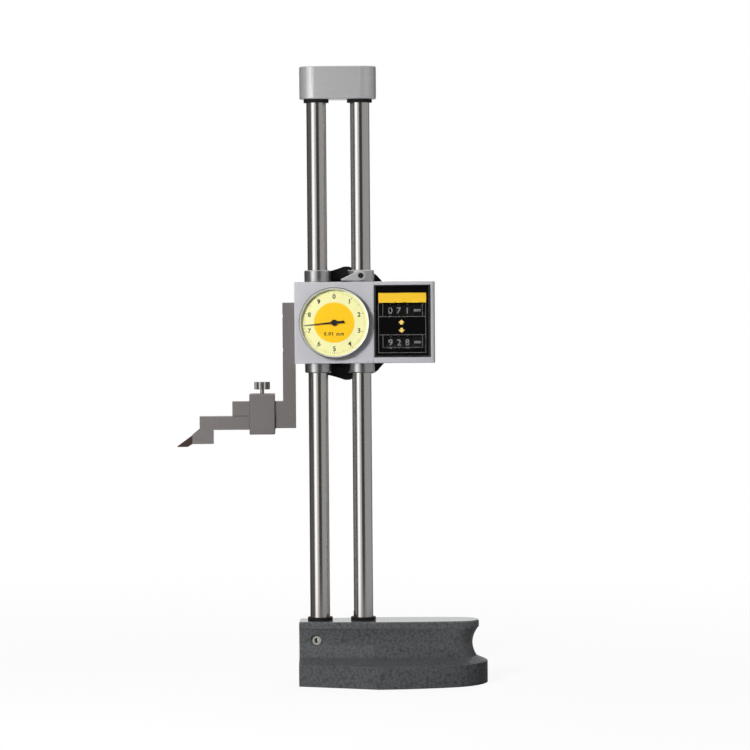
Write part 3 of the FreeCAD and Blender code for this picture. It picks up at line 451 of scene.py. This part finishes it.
def hammered_paint(colour):
    """Hammered paint, glossy on the wall and dulled by handling on the flange."""
    dull_below, glossy_above = 19.0 * MM, 28.0 * MM
    dull_coat, glossy_coat = 0.1, 0.85
    swell = 0.6
    finish = Finish("hammered_paint", colour, coat_roughness=0.08, specular_ior_level=0.02)
    heights = {
        "Value": finish.along(finish.place(), "Z"),
        "From Min": dull_below,
        "From Max": glossy_above,
        "To Min": dull_coat,
        "To Max": glossy_coat,
    }
    coat = finish.node("ShaderNodeMapRange", None, heights, output="Result")
    finish.put(finish.shader.inputs["Coat Weight"], coat)
    cells = finish.node(
        "ShaderNodeTexVoronoi",
        {"feature": "SMOOTH_F1"},
        {"Vector": finish.place(), "Scale": 520.0, "Smoothness": 0.5},
    )
    soft = finish.noise(scale=160.0, detail=3.0)
    finish.colour(cells, colour, start=1.45, end=0.6)
    finish.rough(soft, start=0.3, end=0.46)
    finish.bump(cells + swell * soft, strength=0.5, distance=0.3 * MM)
    return finish.material


def ground_steel(colour):
    """Plated columns with faint rings left by the grinding."""
    finish = Finish("ground_steel", colour, metallic=1.0)
    place = finish.place(scale=(40.0, 40.0, 2600.0))
    rings = finish.noise(scale=1.0, detail=4.0, roughness=0.6, vector=place)
    finish.rough(rings, start=0.13, end=0.22)
    finish.bump(rings, strength=0.05, distance=0.05 * MM)
    return finish.material


def brushed(name, colour, scratches, roughness, metallic=1.0):
    """Metal with fine scratches along one axis."""
    spread = 0.06
    finish = Finish(name, colour, metallic=metallic)
    place = finish.place(scale=scratches)
    grain = finish.noise(scale=1.0, detail=3.0, roughness=0.6, vector=place)
    finish.colour(grain, colour, start=0.88, end=1.1)
    finish.rough(grain, roughness - spread, roughness + spread)
    finish.bump(grain, strength=0.1, distance=0.05 * MM)
    return finish.material


def fine_cast(name, colour, roughness, metallic, depth=0.12):
    """A bead-blasted and plated surface."""
    spread = 0.05
    finish = Finish(name, colour, metallic=metallic)
    speck = finish.noise(scale=3200.0, roughness=0.6)
    cloud = finish.noise(scale=60.0)
    finish.colour(cloud, colour, start=0.95, end=1.05)
    finish.rough(speck, roughness - spread, roughness + spread)
    finish.bump(speck, strength=depth, distance=0.04 * MM)
    return finish.material


def plain(name, colour, roughness, variation=0.08, **constants):
    """A paint, plastic or rubber with a slight unevenness."""
    spread = 0.04
    finish = Finish(name, colour, **constants)
    cloud = finish.noise(scale=240.0, detail=3.0)
    finish.colour(cloud, colour, 1 - variation, 1 + variation)
    finish.rough(cloud, roughness - spread, roughness + spread)
    return finish.material


def clear_sheet(name, alpha):
    """A sheet that is clear but for a faint grey."""
    return Finish(name, (0.3, 0.3, 0.3), roughness=0.03, alpha=alpha).material


# Pieces whose finish in the photograph is darker than the rest of their kind
DARK_ENDS = {"pointer_arbor": "hand_black", "clamp_screw": "black_steel"}


def make_finishes(settings):
    """Every finish of the gauge, by the record's slot name."""
    casting, chrome, jaw = tuple(settings.casting), tuple(settings.chrome), tuple(settings.jaw)
    return {
        "base_paint": hammered_paint(tuple(settings.paint)),
        "ground_steel": ground_steel(tuple(settings.column)),
        "rack_steel": brushed("rack_steel", (0.45, 0.44, 0.42), MILLED, roughness=0.34),
        "black_rubber": plain("black_rubber", (0.01, 0.01, 0.01), roughness=0.62, specular_ior_level=0.25),
        "satin_chrome": brushed("satin_chrome", chrome, PLATED, roughness=0.38, metallic=0.6),
        "black_steel": plain("black_steel", (0.035, 0.035, 0.037), roughness=0.38, metallic=0.6),
        "satin_casting": fine_cast("satin_casting", casting, roughness=0.4, metallic=0.3),
        "bush_steel": brushed("bush_steel", (0.6, 0.6, 0.6), TURNED, roughness=0.3),
        "brass_plate": brushed("brass_plate", (0.55, 0.4, 0.16), ROLLED, roughness=0.35),
        "panel_black": plain("panel_black", (0.003, 0.003, 0.0033), roughness=0.6, specular_ior_level=0.04),
        "clear_pane": clear_sheet("clear_pane", alpha=0.006),
        "label_yellow": plain("label_yellow", tuple(settings.label), roughness=0.4, variation=0.04),
        "wheel_black": plain("wheel_black", (0.004, 0.004, 0.004), roughness=0.6, specular_ior_level=0.05),
        "jaw_steel": brushed("jaw_steel", jaw, GROUND, roughness=0.42, metallic=0.75),
        "black_plastic": plain(
            "black_plastic", (0.006, 0.006, 0.006), roughness=0.42, specular_ior_level=0.25
        ),
        "hand_black": plain("hand_black", (0.012, 0.008, 0.01), roughness=0.4),
        "bezel_black": plain("bezel_black", BEZEL_BLACK, roughness=0.34, metallic=0.2),
        "dial_cream": plain("dial_cream", tuple(settings.cream), roughness=0.5, variation=0.02),
        "hard_metal": brushed("hard_metal", (0.09, 0.06, 0.05), GROUND, roughness=0.38, metallic=0.8),
        "thumb_steel": brushed("thumb_steel", (0.42, 0.4, 0.39), TURNED, roughness=0.3),
    }


# Modelling helpers


def deselect():
    if bpy.context.mode != "OBJECT":
        bpy.ops.object.mode_set(mode="OBJECT")
    bpy.ops.object.select_all(action="DESELECT")


def pick(obj):
    """Selects one object and makes it the active one."""
    deselect()
    obj.select_set(True)
    bpy.context.view_layer.objects.active = obj


def settle(obj):
    """Puts the object's place, turn and scale into its mesh."""
    pick(obj)
    bpy.ops.object.transform_apply(location=True, rotation=True, scale=True)


def named(obj, name):
    obj.name = name
    obj.data.name = name
    return obj


def started(operator, **settings):
    """Adds a primitive by its operator and returns it."""
    deselect()
    operator(**settings)
    return bpy.context.active_object


def edit(obj, mode="FACE"):
    """Enters edit mode with everything selected."""
    pick(obj)
    bpy.ops.object.mode_set(mode="EDIT")
    bpy.ops.mesh.select_mode(type=mode)
    bpy.ops.mesh.select_all(action="SELECT")


def done():
    """Leaves edit mode with the faces turned outwards."""
    bpy.ops.mesh.select_all(action="SELECT")
    bpy.ops.mesh.normals_make_consistent(inside=False)
    bpy.ops.object.mode_set(mode="OBJECT")


def blunt(obj, bevel):
    """Breaks every edge of a mesh."""
    edit(obj, "EDGE")
    bpy.ops.mesh.bevel(offset=bevel, segments=1, affect="EDGES")
    done()


def spread_round(obj, count):
    """Copies a mesh round the dial's axis until there are so many of it."""
    edit(obj)
    bpy.ops.mesh.spin(
        steps=count - 1,
        dupli=True,
        angle=2 * math.pi * (count - 1) / count,
        center=tuple(dial_centre),
        axis=(0.0, 1.0, 0.0),
    )
    done()


def joined(objects, name):
    """Joins meshes into one object."""
    deselect()
    for obj in objects:
        obj.select_set(True)
    bpy.context.view_layer.objects.active = objects[0]
    bpy.ops.object.join()
    return named(objects[0], name)


def slab(name, centre, size, bevel=FINE_BEVEL):
    """A thin block with its edges broken."""
    obj = started(bpy.ops.mesh.primitive_cube_add, size=1.0, location=centre)
    obj.scale = size
    settle(obj)
    blunt(obj, bevel)
    return named(obj, name)


def ring(name, profile):
    """A ring about the dial's axis, swept through circles of the profile's radii and depths."""
    radius, y = profile[0]
    obj = started(
        bpy.ops.mesh.primitive_circle_add,
        vertices=RING_STEPS,
        radius=radius,
        location=(dial_centre.x, y, dial_centre.z),
        rotation=FRONT,
        fill_type="NOTHING",
    )
    settle(obj)
    edit(obj, "EDGE")
    for next_radius, next_y in profile[1:]:
        share = next_radius / radius
        centre = (dial_centre.x, next_y, dial_centre.z)
        bpy.ops.mesh.extrude_edges_move()
        bpy.ops.transform.translate(value=(0.0, next_y - y, 0.0))
        bpy.ops.transform.resize(value=(share, 1.0, share), center_override=centre)
        radius, y = next_radius, next_y
    bpy.ops.mesh.select_all(action="SELECT")
    bpy.ops.mesh.remove_doubles(threshold=WELD_DISTANCE)
    done()
    return named(obj, name)


def words(name, text, height, centre, spacing=1.0, weight=0.0):
    """Upright words that face the front, made a mesh."""
    obj = started(bpy.ops.object.text_add, location=(0.0, 0.0, 0.0))
    obj.data.body = text
    obj.data.size = height / DIGIT_SHARE
    obj.data.align_x = "CENTER"
    obj.data.align_y = "CENTER"
    obj.data.space_character = spacing
    obj.data.offset = weight
    obj.data.extrude = MARK_THICKNESS / 2
    pick(obj)
    bpy.ops.object.convert(target="MESH")
    obj = bpy.context.active_object
    bpy.ops.object.origin_set(type="ORIGIN_GEOMETRY", center="BOUNDS")
    obj.location = centre
    obj.rotation_euler = FRONT
    settle(obj)
    return named(obj, name)


def painted(obj, material):
    obj.data.materials.clear()
    obj.data.materials.append(material)


def fitted(obj, body, material):
    """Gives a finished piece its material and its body."""
    painted(obj, material)
    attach(obj, body)


# Operators


class GAUGE_OT_finishes(bpy.types.Operator):
    """Gives every CAD node its procedural finish"""

    bl_idname = "gauge.finishes"
    bl_label = "Finishes"

    def execute(self, context):
        made = make_finishes(context.scene.gauge_finish)
        for row in frame["record"]["subparts"]:
            node = frame["nodes"][row["node"]]
            painted(node, made[DARK_ENDS.get(row["node"], row["material_slot"])])
        return {"FINISHED"}


class GAUGE_OT_dial_disc(bpy.types.Operator):
    """Makes the amber disc in the middle of the dial"""

    bl_idname = "gauge.dial_disc"
    bl_label = "Dial disc"

    def execute(self, context):
        dial = context.scene.gauge_dial
        thickness, hole, rim = 0.05 * MM, 1.7 * MM, dial.disc_radius
        back, front = dial_face_y, dial_face_y - thickness
        disc = ring("dial_disc", [(hole, back), (rim, back), (rim, front), (hole, front), (hole, back)])
        amber = plain("dial_amber", tuple(dial.amber), roughness=0.5, variation=0.02)
        fitted(disc, "bezel", amber)
        return {"FINISHED"}


class GAUGE_OT_graduations(bpy.types.Operator):
    """Makes the hundred graduations of the dial"""

    bl_idname = "gauge.graduations"
    bl_label = "Graduations"

    def execute(self, context):
        dial = context.scene.gauge_dial
        y = dial_face_y - MARK_THICKNESS / 2
        sets = []
        for name, count, length, width in (
            ("fine", 100, 1.5 * MM, 0.13 * MM),
            ("fives", 20, 2.0 * MM, 0.16 * MM),
            ("tens", 10, 2.4 * MM, 0.28 * MM),
        ):
            centre = (dial_centre.x, y, dial_centre.z + dial.tick_outer - length / 2)
            mark = slab(name, centre, (width, MARK_THICKNESS, length), bevel=0.015 * MM)
            spread_round(mark, count)
            sets.append(mark)
        marks = joined(sets, "graduations")
        fitted(marks, "bezel", plain("dial_ink", tuple(dial.ink), roughness=0.5))
        return {"FINISHED"}


class GAUGE_OT_dial_numbers(bpy.types.Operator):
    """Makes the dial's numbers and its unit"""

    bl_idname = "gauge.dial_numbers"
    bl_label = "Dial numbers"

    def execute(self, context):
        dial = context.scene.gauge_dial
        y = dial_face_y - MARK_THICKNESS / 2
        unit_height, unit_drop, unit_left = 2.5 * MM, 8.3 * MM, 0.3 * MM
        numbers = []
        for number in range(DIGITS):
            angle = 2 * math.pi * number / DIGITS
            across, up = dial.number_radius * math.sin(angle), dial.number_radius * math.cos(angle)
            centre = (dial_centre.x + across, y, dial_centre.z + up)
            name = f"number_{number}"
            numbers.append(words(name, str(number), dial.number_height, centre, weight=0.1 * MM))
        centre = (dial_centre.x - unit_left, y - MARK_THICKNESS, dial_centre.z - unit_drop)
        numbers.append(words("dial_unit", "0.01 mm", unit_height, centre, spacing=1.25, weight=0.12 * MM))
        made = joined(numbers, "dial_numbers")
        fitted(made, "bezel", plain("number_ink", tuple(dial.ink), roughness=0.5))
        return {"FINISHED"}


class GAUGE_OT_bezel_ring(bpy.types.Operator):
    """Makes the bezel with its bright sloping ring round the dial"""

    bl_idname = "gauge.bezel_ring"
    bl_label = "Bezel ring"

    def execute(self, context):
        dial = context.scene.gauge_dial
        outer, inner = bezel_radius, dial.bevel_inner
        front, back = bezel_low.y, bezel_high.y
        crest, shoulder, hollow = outer - 0.3 * MM, outer - 0.12 * MM, outer - 2.8 * MM
        shoulder_y, rim_y = front + 0.15 * MM, front + 0.6 * MM
        seat_y, behind_y = dial_face_y + 1.0 * MM, dial_face_y - 0.05 * MM
        foot_y = front + (crest - inner) * math.tan(dial.bevel_slope)
        under_y, play = front + 0.06 * MM, 0.1 * MM
        profile = [
            (crest, front),
            (shoulder, shoulder_y),
            (outer, rim_y),
            (outer, back),
            (hollow, back),
            (hollow, seat_y),
            (inner + play, behind_y),
            (crest, under_y),
        ]
        body = ring("bezel_body", profile)
        black = plain("bezel_body_black", BEZEL_BLACK, roughness=0.34, metallic=0.2)
        fitted(body, "bezel", black)
        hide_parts("bezel")
        edge_y, rear_crest, rear_y = front + 0.02 * MM, crest - 0.02 * MM, front + 0.1 * MM
        profile = [
            (crest, edge_y),
            (inner, foot_y),
            (inner, behind_y),
            (rear_crest, rear_y),
            (crest, edge_y),
        ]
        slope = ring("bezel_slope", profile)
        satin = fine_cast("slope_satin", (0.8, 0.79, 0.7), roughness=0.3, metallic=0.5, depth=0.02)
        fitted(slope, "bezel", satin)
        return {"FINISHED"}


class GAUGE_OT_bezel_knurl(bpy.types.Operator):
    """Makes the fine ribs round the bezel's rim"""

    bl_idname = "gauge.bezel_knurl"
    bl_label = "Bezel ribs"

    def execute(self, context):
        ribs = 120
        rib_wide, rib_high, rib_bevel = 0.8 * MM, 0.5 * MM, 0.2 * MM
        back_margin, front_margin = 0.6 * MM, 1.6 * MM
        back, front = bezel_high.y - back_margin, bezel_low.y + front_margin
        centre = (dial_centre.x, (front + back) / 2, dial_centre.z + bezel_radius)
        rib = slab("bezel_ribs", centre, (rib_wide, back - front, rib_high), rib_bevel)
        spread_round(rib, ribs)
        black = plain("rib_black", BEZEL_BLACK, roughness=0.36, metallic=0.2)
        fitted(rib, "bezel", black)
        return {"FINISHED"}


class GAUGE_OT_counter_digits(bpy.types.Operator):
    """Makes the ring of digits on each counter wheel"""

    bl_idname = "gauge.counter_digits"
    bl_label = "Counter digits"

    def execute(self, context):
        counter = context.scene.gauge_counter
        white = plain("digit_white", tuple(counter.digit_white), roughness=0.5)
        for way, axis in counters.items():
            for place, shown in zip(places, shown_digits[way]):
                made = self.digit_ring(f"{way}_{place}", axis, shown, counter.digit_height)
                fitted(made, f"{way}_{place}_wheel", white)
        return {"FINISHED"}

    def digit_ring(self, wheel, axis, shown, height):
        """Ten digits round one wheel, with the digit that is read at the front."""
        x = middle(f"{wheel}_wheel").x
        digits = []
        for digit in range(DIGITS):
            front = (x, axis.y - wheel_radius, axis.z)
            obj = words(f"digit_{digit}", str(digit), height, front)
            self.wrap(obj, axis)
            edit(obj)
            bpy.ops.transform.rotate(
                value=2 * math.pi * (digit - shown) / DIGITS,
                orient_axis="X",
                orient_type="GLOBAL",
                center_override=(x, axis.y, axis.z),
            )
            bpy.ops.object.mode_set(mode="OBJECT")
            digits.append(obj)
        return joined(digits, f"{wheel}_digits")

    def wrap(self, obj, axis):
        """Cuts a flat digit into bands and lays each band on the wheel's rim."""
        bands = 8
        low = min(v.co.z for v in obj.data.vertices)
        high = max(v.co.z for v in obj.data.vertices)
        edit(obj)
        for i in range(1, bands):
            cut = (0.0, 0.0, low + (high - low) * i / bands)
            bpy.ops.mesh.select_all(action="SELECT")
            bpy.ops.mesh.bisect(plane_co=cut, plane_no=(0.0, 0.0, 1.0))
        bpy.ops.object.mode_set(mode="OBJECT")
        for vertex in obj.data.vertices:
            radius = axis.y - vertex.co.y
            turn = (vertex.co.z - axis.z) / wheel_radius
            vertex.co.y = axis.y - radius * math.cos(turn)
            vertex.co.z = axis.z + radius * math.sin(turn)


class GAUGE_OT_counter_liners(bpy.types.Operator):
    """Makes the black blinds that close the gap beside each counter's wheels"""

    bl_idname = "gauge.counter_liners"
    bl_label = "Counter blinds"

    def execute(self, context):
        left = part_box("up_hundreds_wheel")[0].x
        size = (2.6 * MM, 0.5 * MM, 10.6 * MM)
        gap, depth = 1.6 * MM, 0.45 * MM
        blinds = []
        for way, axis in counters.items():
            centre = (left - gap, panel_high.y + depth, axis.z)
            blinds.append(slab(f"blind_{way}", centre, size, bevel=0.05 * MM))
        made = joined(blinds, "counter_blinds")
        dull = plain("blind_black", (0.003, 0.003, 0.003), roughness=0.7, specular_ior_level=0.04)
        fitted(made, "carriage", dull)
        return {"FINISHED"}


class GAUGE_OT_counter_unit(bpy.types.Operator):
    """Makes the unit beside each counter's digits"""

    bl_idname = "gauge.counter_unit"
    bl_label = "Counter unit"

    def execute(self, context):
        counter = context.scene.gauge_counter
        low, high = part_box("unit_plates")
        height, proud = 2.5 * MM, 0.01 * MM
        units = []
        for way, axis in counters.items():
            centre = ((low.x + high.x) / 2, low.y - proud, axis.z)
            units.append(words(f"unit_{way}", "mm", height, centre, weight=0.1 * MM))
        made = joined(units, "counter_units")
        white = plain("unit_white", tuple(counter.digit_white), roughness=0.5)
        fitted(made, "carriage", white)
        return {"FINISHED"}


class GAUGE_OT_panel_frame(bpy.types.Operator):
    """Makes the thin grey frame lines on the counter panel"""

    bl_idname = "gauge.panel_frame"
    bl_label = "Panel frame"

    def execute(self, context):
        counter = context.scene.gauge_counter
        wide, thick = counter.line_width, 0.08 * MM
        left_margin, right_margin, bottom_margin = 1.9 * MM, 2.3 * MM, 2.5 * MM
        left_inset, right_inset = 3.3 * MM, 2.4 * MM
        below_up, above_down, below_down = 4.6 * MM, 5.7 * MM, 3.7 * MM
        y = panel_low.y - thick / 2
        left, right = panel_low.x + left_margin, panel_high.x - right_margin
        bottom, top = panel_low.z + bottom_margin, label_low.z
        inner_left, inner_right = left + left_inset, right - right_inset
        upper_line = counters["up"].z - below_up
        lower_line = counters["down"].z + above_down
        inner_bottom = counters["down"].z - below_down
        spans = [
            (left, right, upper_line),
            (left, right, lower_line),
            (left, right, bottom),
            (inner_left, inner_right, inner_bottom),
        ]
        uprights = [
            (left, bottom, top),
            (right, bottom, top),
            (inner_left, upper_line, top),
            (inner_right, upper_line, top),
            (inner_left, inner_bottom, lower_line),
            (inner_right, inner_bottom, lower_line),
        ]
        lines = []
        for x0, x1, z in spans:
            centre = ((x0 + x1) / 2, y, z)
            lines.append(slab("line", centre, (x1 - x0 + wide, thick, wide)))
        for x, z0, z1 in uprights:
            centre = (x, y, (z0 + z1) / 2)
            lines.append(slab("line", centre, (wide, thick, z1 - z0 - wide)))
        made = joined(lines, "panel_frame")
        grey = plain("line_grey", tuple(counter.line_grey), roughness=0.45)
        fitted(made, "carriage", grey)
        return {"FINISHED"}


class GAUGE_OT_window_edge(bpy.types.Operator):
    """Makes a painted shadow round the counters' window: a dark border that stands in for the shade in its recess
    """

    bl_idname = "gauge.window_edge"
    bl_label = "Painted window shadow"

    def execute(self, context):
        counter = context.scene.gauge_counter
        wide, high = counter.edge_width, counter.edge_height
        thick, proud = 0.06 * MM, 0.02 * MM
        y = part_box("counter_housing")[0].y - proud
        left, right = panel_low.x, panel_high.x
        bottom, top = panel_low.z, panel_high.z
        strips = [
            (left - wide, right + wide, top, top + high),
            (left - wide, right + wide, bottom - high, bottom),
            (left - wide, left, bottom, top),
            (right, right + wide, bottom, top),
        ]
        shadow_strips = []
        for x0, x1, z0, z1 in strips:
            centre = ((x0 + x1) / 2, y, (z0 + z1) / 2)
            shadow_strips.append(slab("edge", centre, (x1 - x0, thick, z1 - z0)))
        made = joined(shadow_strips, "window_edge")
        # Near-black colour painted where the recess round the window is in shade
        black = plain("painted_shadow_black", (0.018, 0.017, 0.016), roughness=0.5)
        fitted(made, "carriage", black)
        return {"FINISHED"}


class GAUGE_OT_arrows(bpy.types.Operator):
    """Makes the arrows that tell the counters' directions"""

    bl_idname = "gauge.arrows"
    bl_label = "Arrows"

    def execute(self, context):
        counter = context.scene.gauge_counter
        left_shift, up_shift = 0.6 * MM, 0.14 * MM
        head_wide, head_high, stem_wide, stem_high, thick = 2.9 * MM, 1.5 * MM, 2.1 * MM, 1.5 * MM, 0.1 * MM
        head_out, stem_out = 3.4 * MM, 2.0 * MM
        x = (panel_low.x + panel_high.x) / 2 - left_shift
        y = panel_low.y - thick / 2
        mid = (counters["up"].z + counters["down"].z) / 2 + up_shift
        arrows = []
        for sign in (1, -1):
            head = started(
                bpy.ops.mesh.primitive_cylinder_add,
                vertices=3,
                radius=1.0,
                depth=1.0,
                location=(x, y, mid + sign * head_out),
                rotation=(math.pi / 2, 0.0 if sign > 0 else math.pi, 0.0),
            )
            head.scale = (head_wide, head_high, thick)
            settle(head)
            blunt(head, FINE_BEVEL)
            stem = slab("stem", (x, y, mid + sign * stem_out), (stem_wide, thick, stem_high))
            arrows += [head, stem]
        made = joined(arrows, "arrows")
        yellow = plain("arrow_yellow", tuple(counter.arrow_yellow), roughness=0.45)
        fitted(made, "carriage", yellow)
        return {"FINISHED"}


class GAUGE_OT_stage(bpy.types.Operator):
    """Makes the floor, the lamps, the surroundings and the camera"""

    bl_idname = "gauge.stage"
    bl_label = "Stage"

    def execute(self, context):
        stage = context.scene.gauge_stage
        self.camera(context, stage)
        self.floor(stage)
        self.lamps(stage)
        self.cards()
        self.world(context, stage)
        context.scene.view_settings.view_transform = "Standard"
        return {"FINISHED"}

    def camera(self, context, stage):
        """A long lens in front of the gauge, a little above its middle."""
        sensor_width, farthest = 36.0, 50.0
        camera = started(
            bpy.ops.object.camera_add,
            location=(stage.camera_x, -stage.camera_distance, stage.camera_height),
            rotation=(math.pi / 2 - stage.camera_pitch, stage.camera_roll, 0.0),
        )
        camera.name = "camera"
        camera.data.sensor_width = sensor_width
        camera.data.lens = stage.camera_lens
        camera.data.clip_end = farthest
        context.scene.camera = camera

    def floor(self, stage):
        """A floor that fades to white for the camera and shows the walls' stripes to metal."""
        size, bounced = 12.0, 0.45
        white_share = [(0.2, 0.91), (0.9, 1.0)]
        stripe_strength = [(0.1, 0.3), (0.6, 1.0)]
        colour = tuple(stage.floor_colour)
        floor = started(bpy.ops.mesh.primitive_plane_add, size=size, location=(0.0, 0.0, 0.0))
        named(floor, "floor")
        finish = Finish("floor_white", colour)
        place = finish.place()
        far = finish.node("ShaderNodeVectorMath", {"operation": "LENGTH"}, {0: place}, output="Value")
        albedo = finish.blend(finish.ray("Diffuse"), colour, shade(colour, bounced))
        diffuse = finish.node("ShaderNodeBsdfDiffuse", None, {"Color": albedo})
        share = finish.grey(white_share, far) * finish.ray("Camera")
        pale = finish.mixed(share, diffuse, finish.glow(WHITE))
        striped = finish.glow(finish.stripes(place), finish.grey(stripe_strength, far))
        finish.surface(finish.mixed(finish.ray("Glossy"), pale, striped))
        painted(floor, finish.material)

    def lamps(self, stage):
        """The main lamp near the camera, a weak one on the right and one behind the gauge."""
        target = Vector((0.0, 0.0, 0.24))
        for name, place, size, power in (
            ("key_lamp", (-0.28, -0.62, 0.46), 0.12, stage.key_power),
            ("fill_lamp", (1.5, -1.1, 0.7), 0.9, stage.fill_power),
            ("back_lamp", (0.45, 1.1, 0.75), 0.6, stage.back_power),
        ):
            lamp = started(bpy.ops.object.light_add, type="AREA", location=place)
            lamp.name = name
            lamp.data.size = size
            lamp.data.energy = power
            lamp.visible_glossy = False
            lamp.rotation_euler = (target - Vector(place)).to_track_quat("-Z", "Y").to_euler()

    def cards(self):
        """Two cards that only metal shows: a dark one beside the camera and a bright one on the left."""
        y, z, high = -0.55, 0.3, 1.6
        for name, x0, x1, grey in (("dark_card", -0.05, 0.3, 0.05), ("bright_card", -0.6, -0.3, 1.6)):
            centre = ((x0 + x1) / 2, y, z)
            card = started(bpy.ops.mesh.primitive_plane_add, size=1.0, location=centre, rotation=FRONT)
            card.scale = (x1 - x0, high, 1.0)
            settle(card)
            named(card, name)
            finish = Finish(name, (0.0, 0.0, 0.0))
            finish.surface(finish.glow((grey, grey, grey, 1.0)))
            painted(card, finish.material)
            card.visible_camera = False
            card.visible_diffuse = False
            card.visible_shadow = False
            card.visible_transmission = False

    def world(self, context, stage):
        """White for the camera, even light for the surfaces, and light and dark walls for the metal."""
        world = bpy.data.worlds.new("studio")
        context.scene.world = world
        world.use_nodes = True
        surround = Surround(world)
        even = surround.shine(WHITE, stage.world_strength)
        walls = surround.shine(surround.walls())
        lit = surround.mixed(surround.ray("Diffuse"), surround.shine(WHITE), even)
        surround.surface(surround.mixed(surround.ray("Glossy"), lit, walls))


class GAUGE_PT_panel(bpy.types.Panel):
    """The list of the gauge's operators and settings"""

    bl_idname = "GAUGE_PT_panel"
    bl_label = "Height gauge"
    bl_space_type = "VIEW_3D"
    bl_region_type = "UI"
    bl_category = "Height gauge"

    def draw(self, context):
        layout = self.layout
        for operator in OPERATORS:
            layout.operator(operator.bl_idname)
        for name in SETTINGS:
            box = layout.box()
            group = getattr(context.scene, name)
            for field in group.__annotations__:
                box.prop(group, field)


SETTINGS = {
    "gauge_dial": DialSettings,
    "gauge_counter": CounterSettings,
    "gauge_finish": FinishSettings,
    "gauge_stage": StageSettings,
}
OPERATORS = (
    GAUGE_OT_finishes,
    GAUGE_OT_dial_disc,
    GAUGE_OT_graduations,
    GAUGE_OT_dial_numbers,
    GAUGE_OT_bezel_ring,
    GAUGE_OT_bezel_knurl,
    GAUGE_OT_counter_digits,
    GAUGE_OT_counter_liners,
    GAUGE_OT_counter_unit,
    GAUGE_OT_panel_frame,
    GAUGE_OT_window_edge,
    GAUGE_OT_arrows,
    GAUGE_OT_stage,
)


def register():
    for group in SETTINGS.values():
        bpy.utils.register_class(group)
    for operator in OPERATORS:
        bpy.utils.register_class(operator)
    bpy.utils.register_class(GAUGE_PT_panel)
    for name, group in SETTINGS.items():
        setattr(bpy.types.Scene, name, bpy.props.PointerProperty(type=group))


def unregister():
    for name in SETTINGS:
        delattr(bpy.types.Scene, name)
    bpy.utils.unregister_class(GAUGE_PT_panel)
    for operator in reversed(OPERATORS):
        bpy.utils.unregister_class(operator)
    for group in reversed(list(SETTINGS.values())):
        bpy.utils.unregister_class(group)


def main():
    register()
    bpy.ops.gauge.stage()
    bpy.ops.gauge.finishes()
    bpy.ops.gauge.dial_disc()
    bpy.ops.gauge.graduations()
    bpy.ops.gauge.dial_numbers()
    bpy.ops.gauge.bezel_ring()
    bpy.ops.gauge.bezel_knurl()
    bpy.ops.gauge.counter_digits()
    bpy.ops.gauge.counter_liners()
    bpy.ops.gauge.counter_unit()
    bpy.ops.gauge.panel_frame()
    # The painted shadow round the counters' window
    bpy.ops.gauge.window_edge()
    bpy.ops.gauge.arrows()
    deselect()


if __name__ == "__main__":
    main()
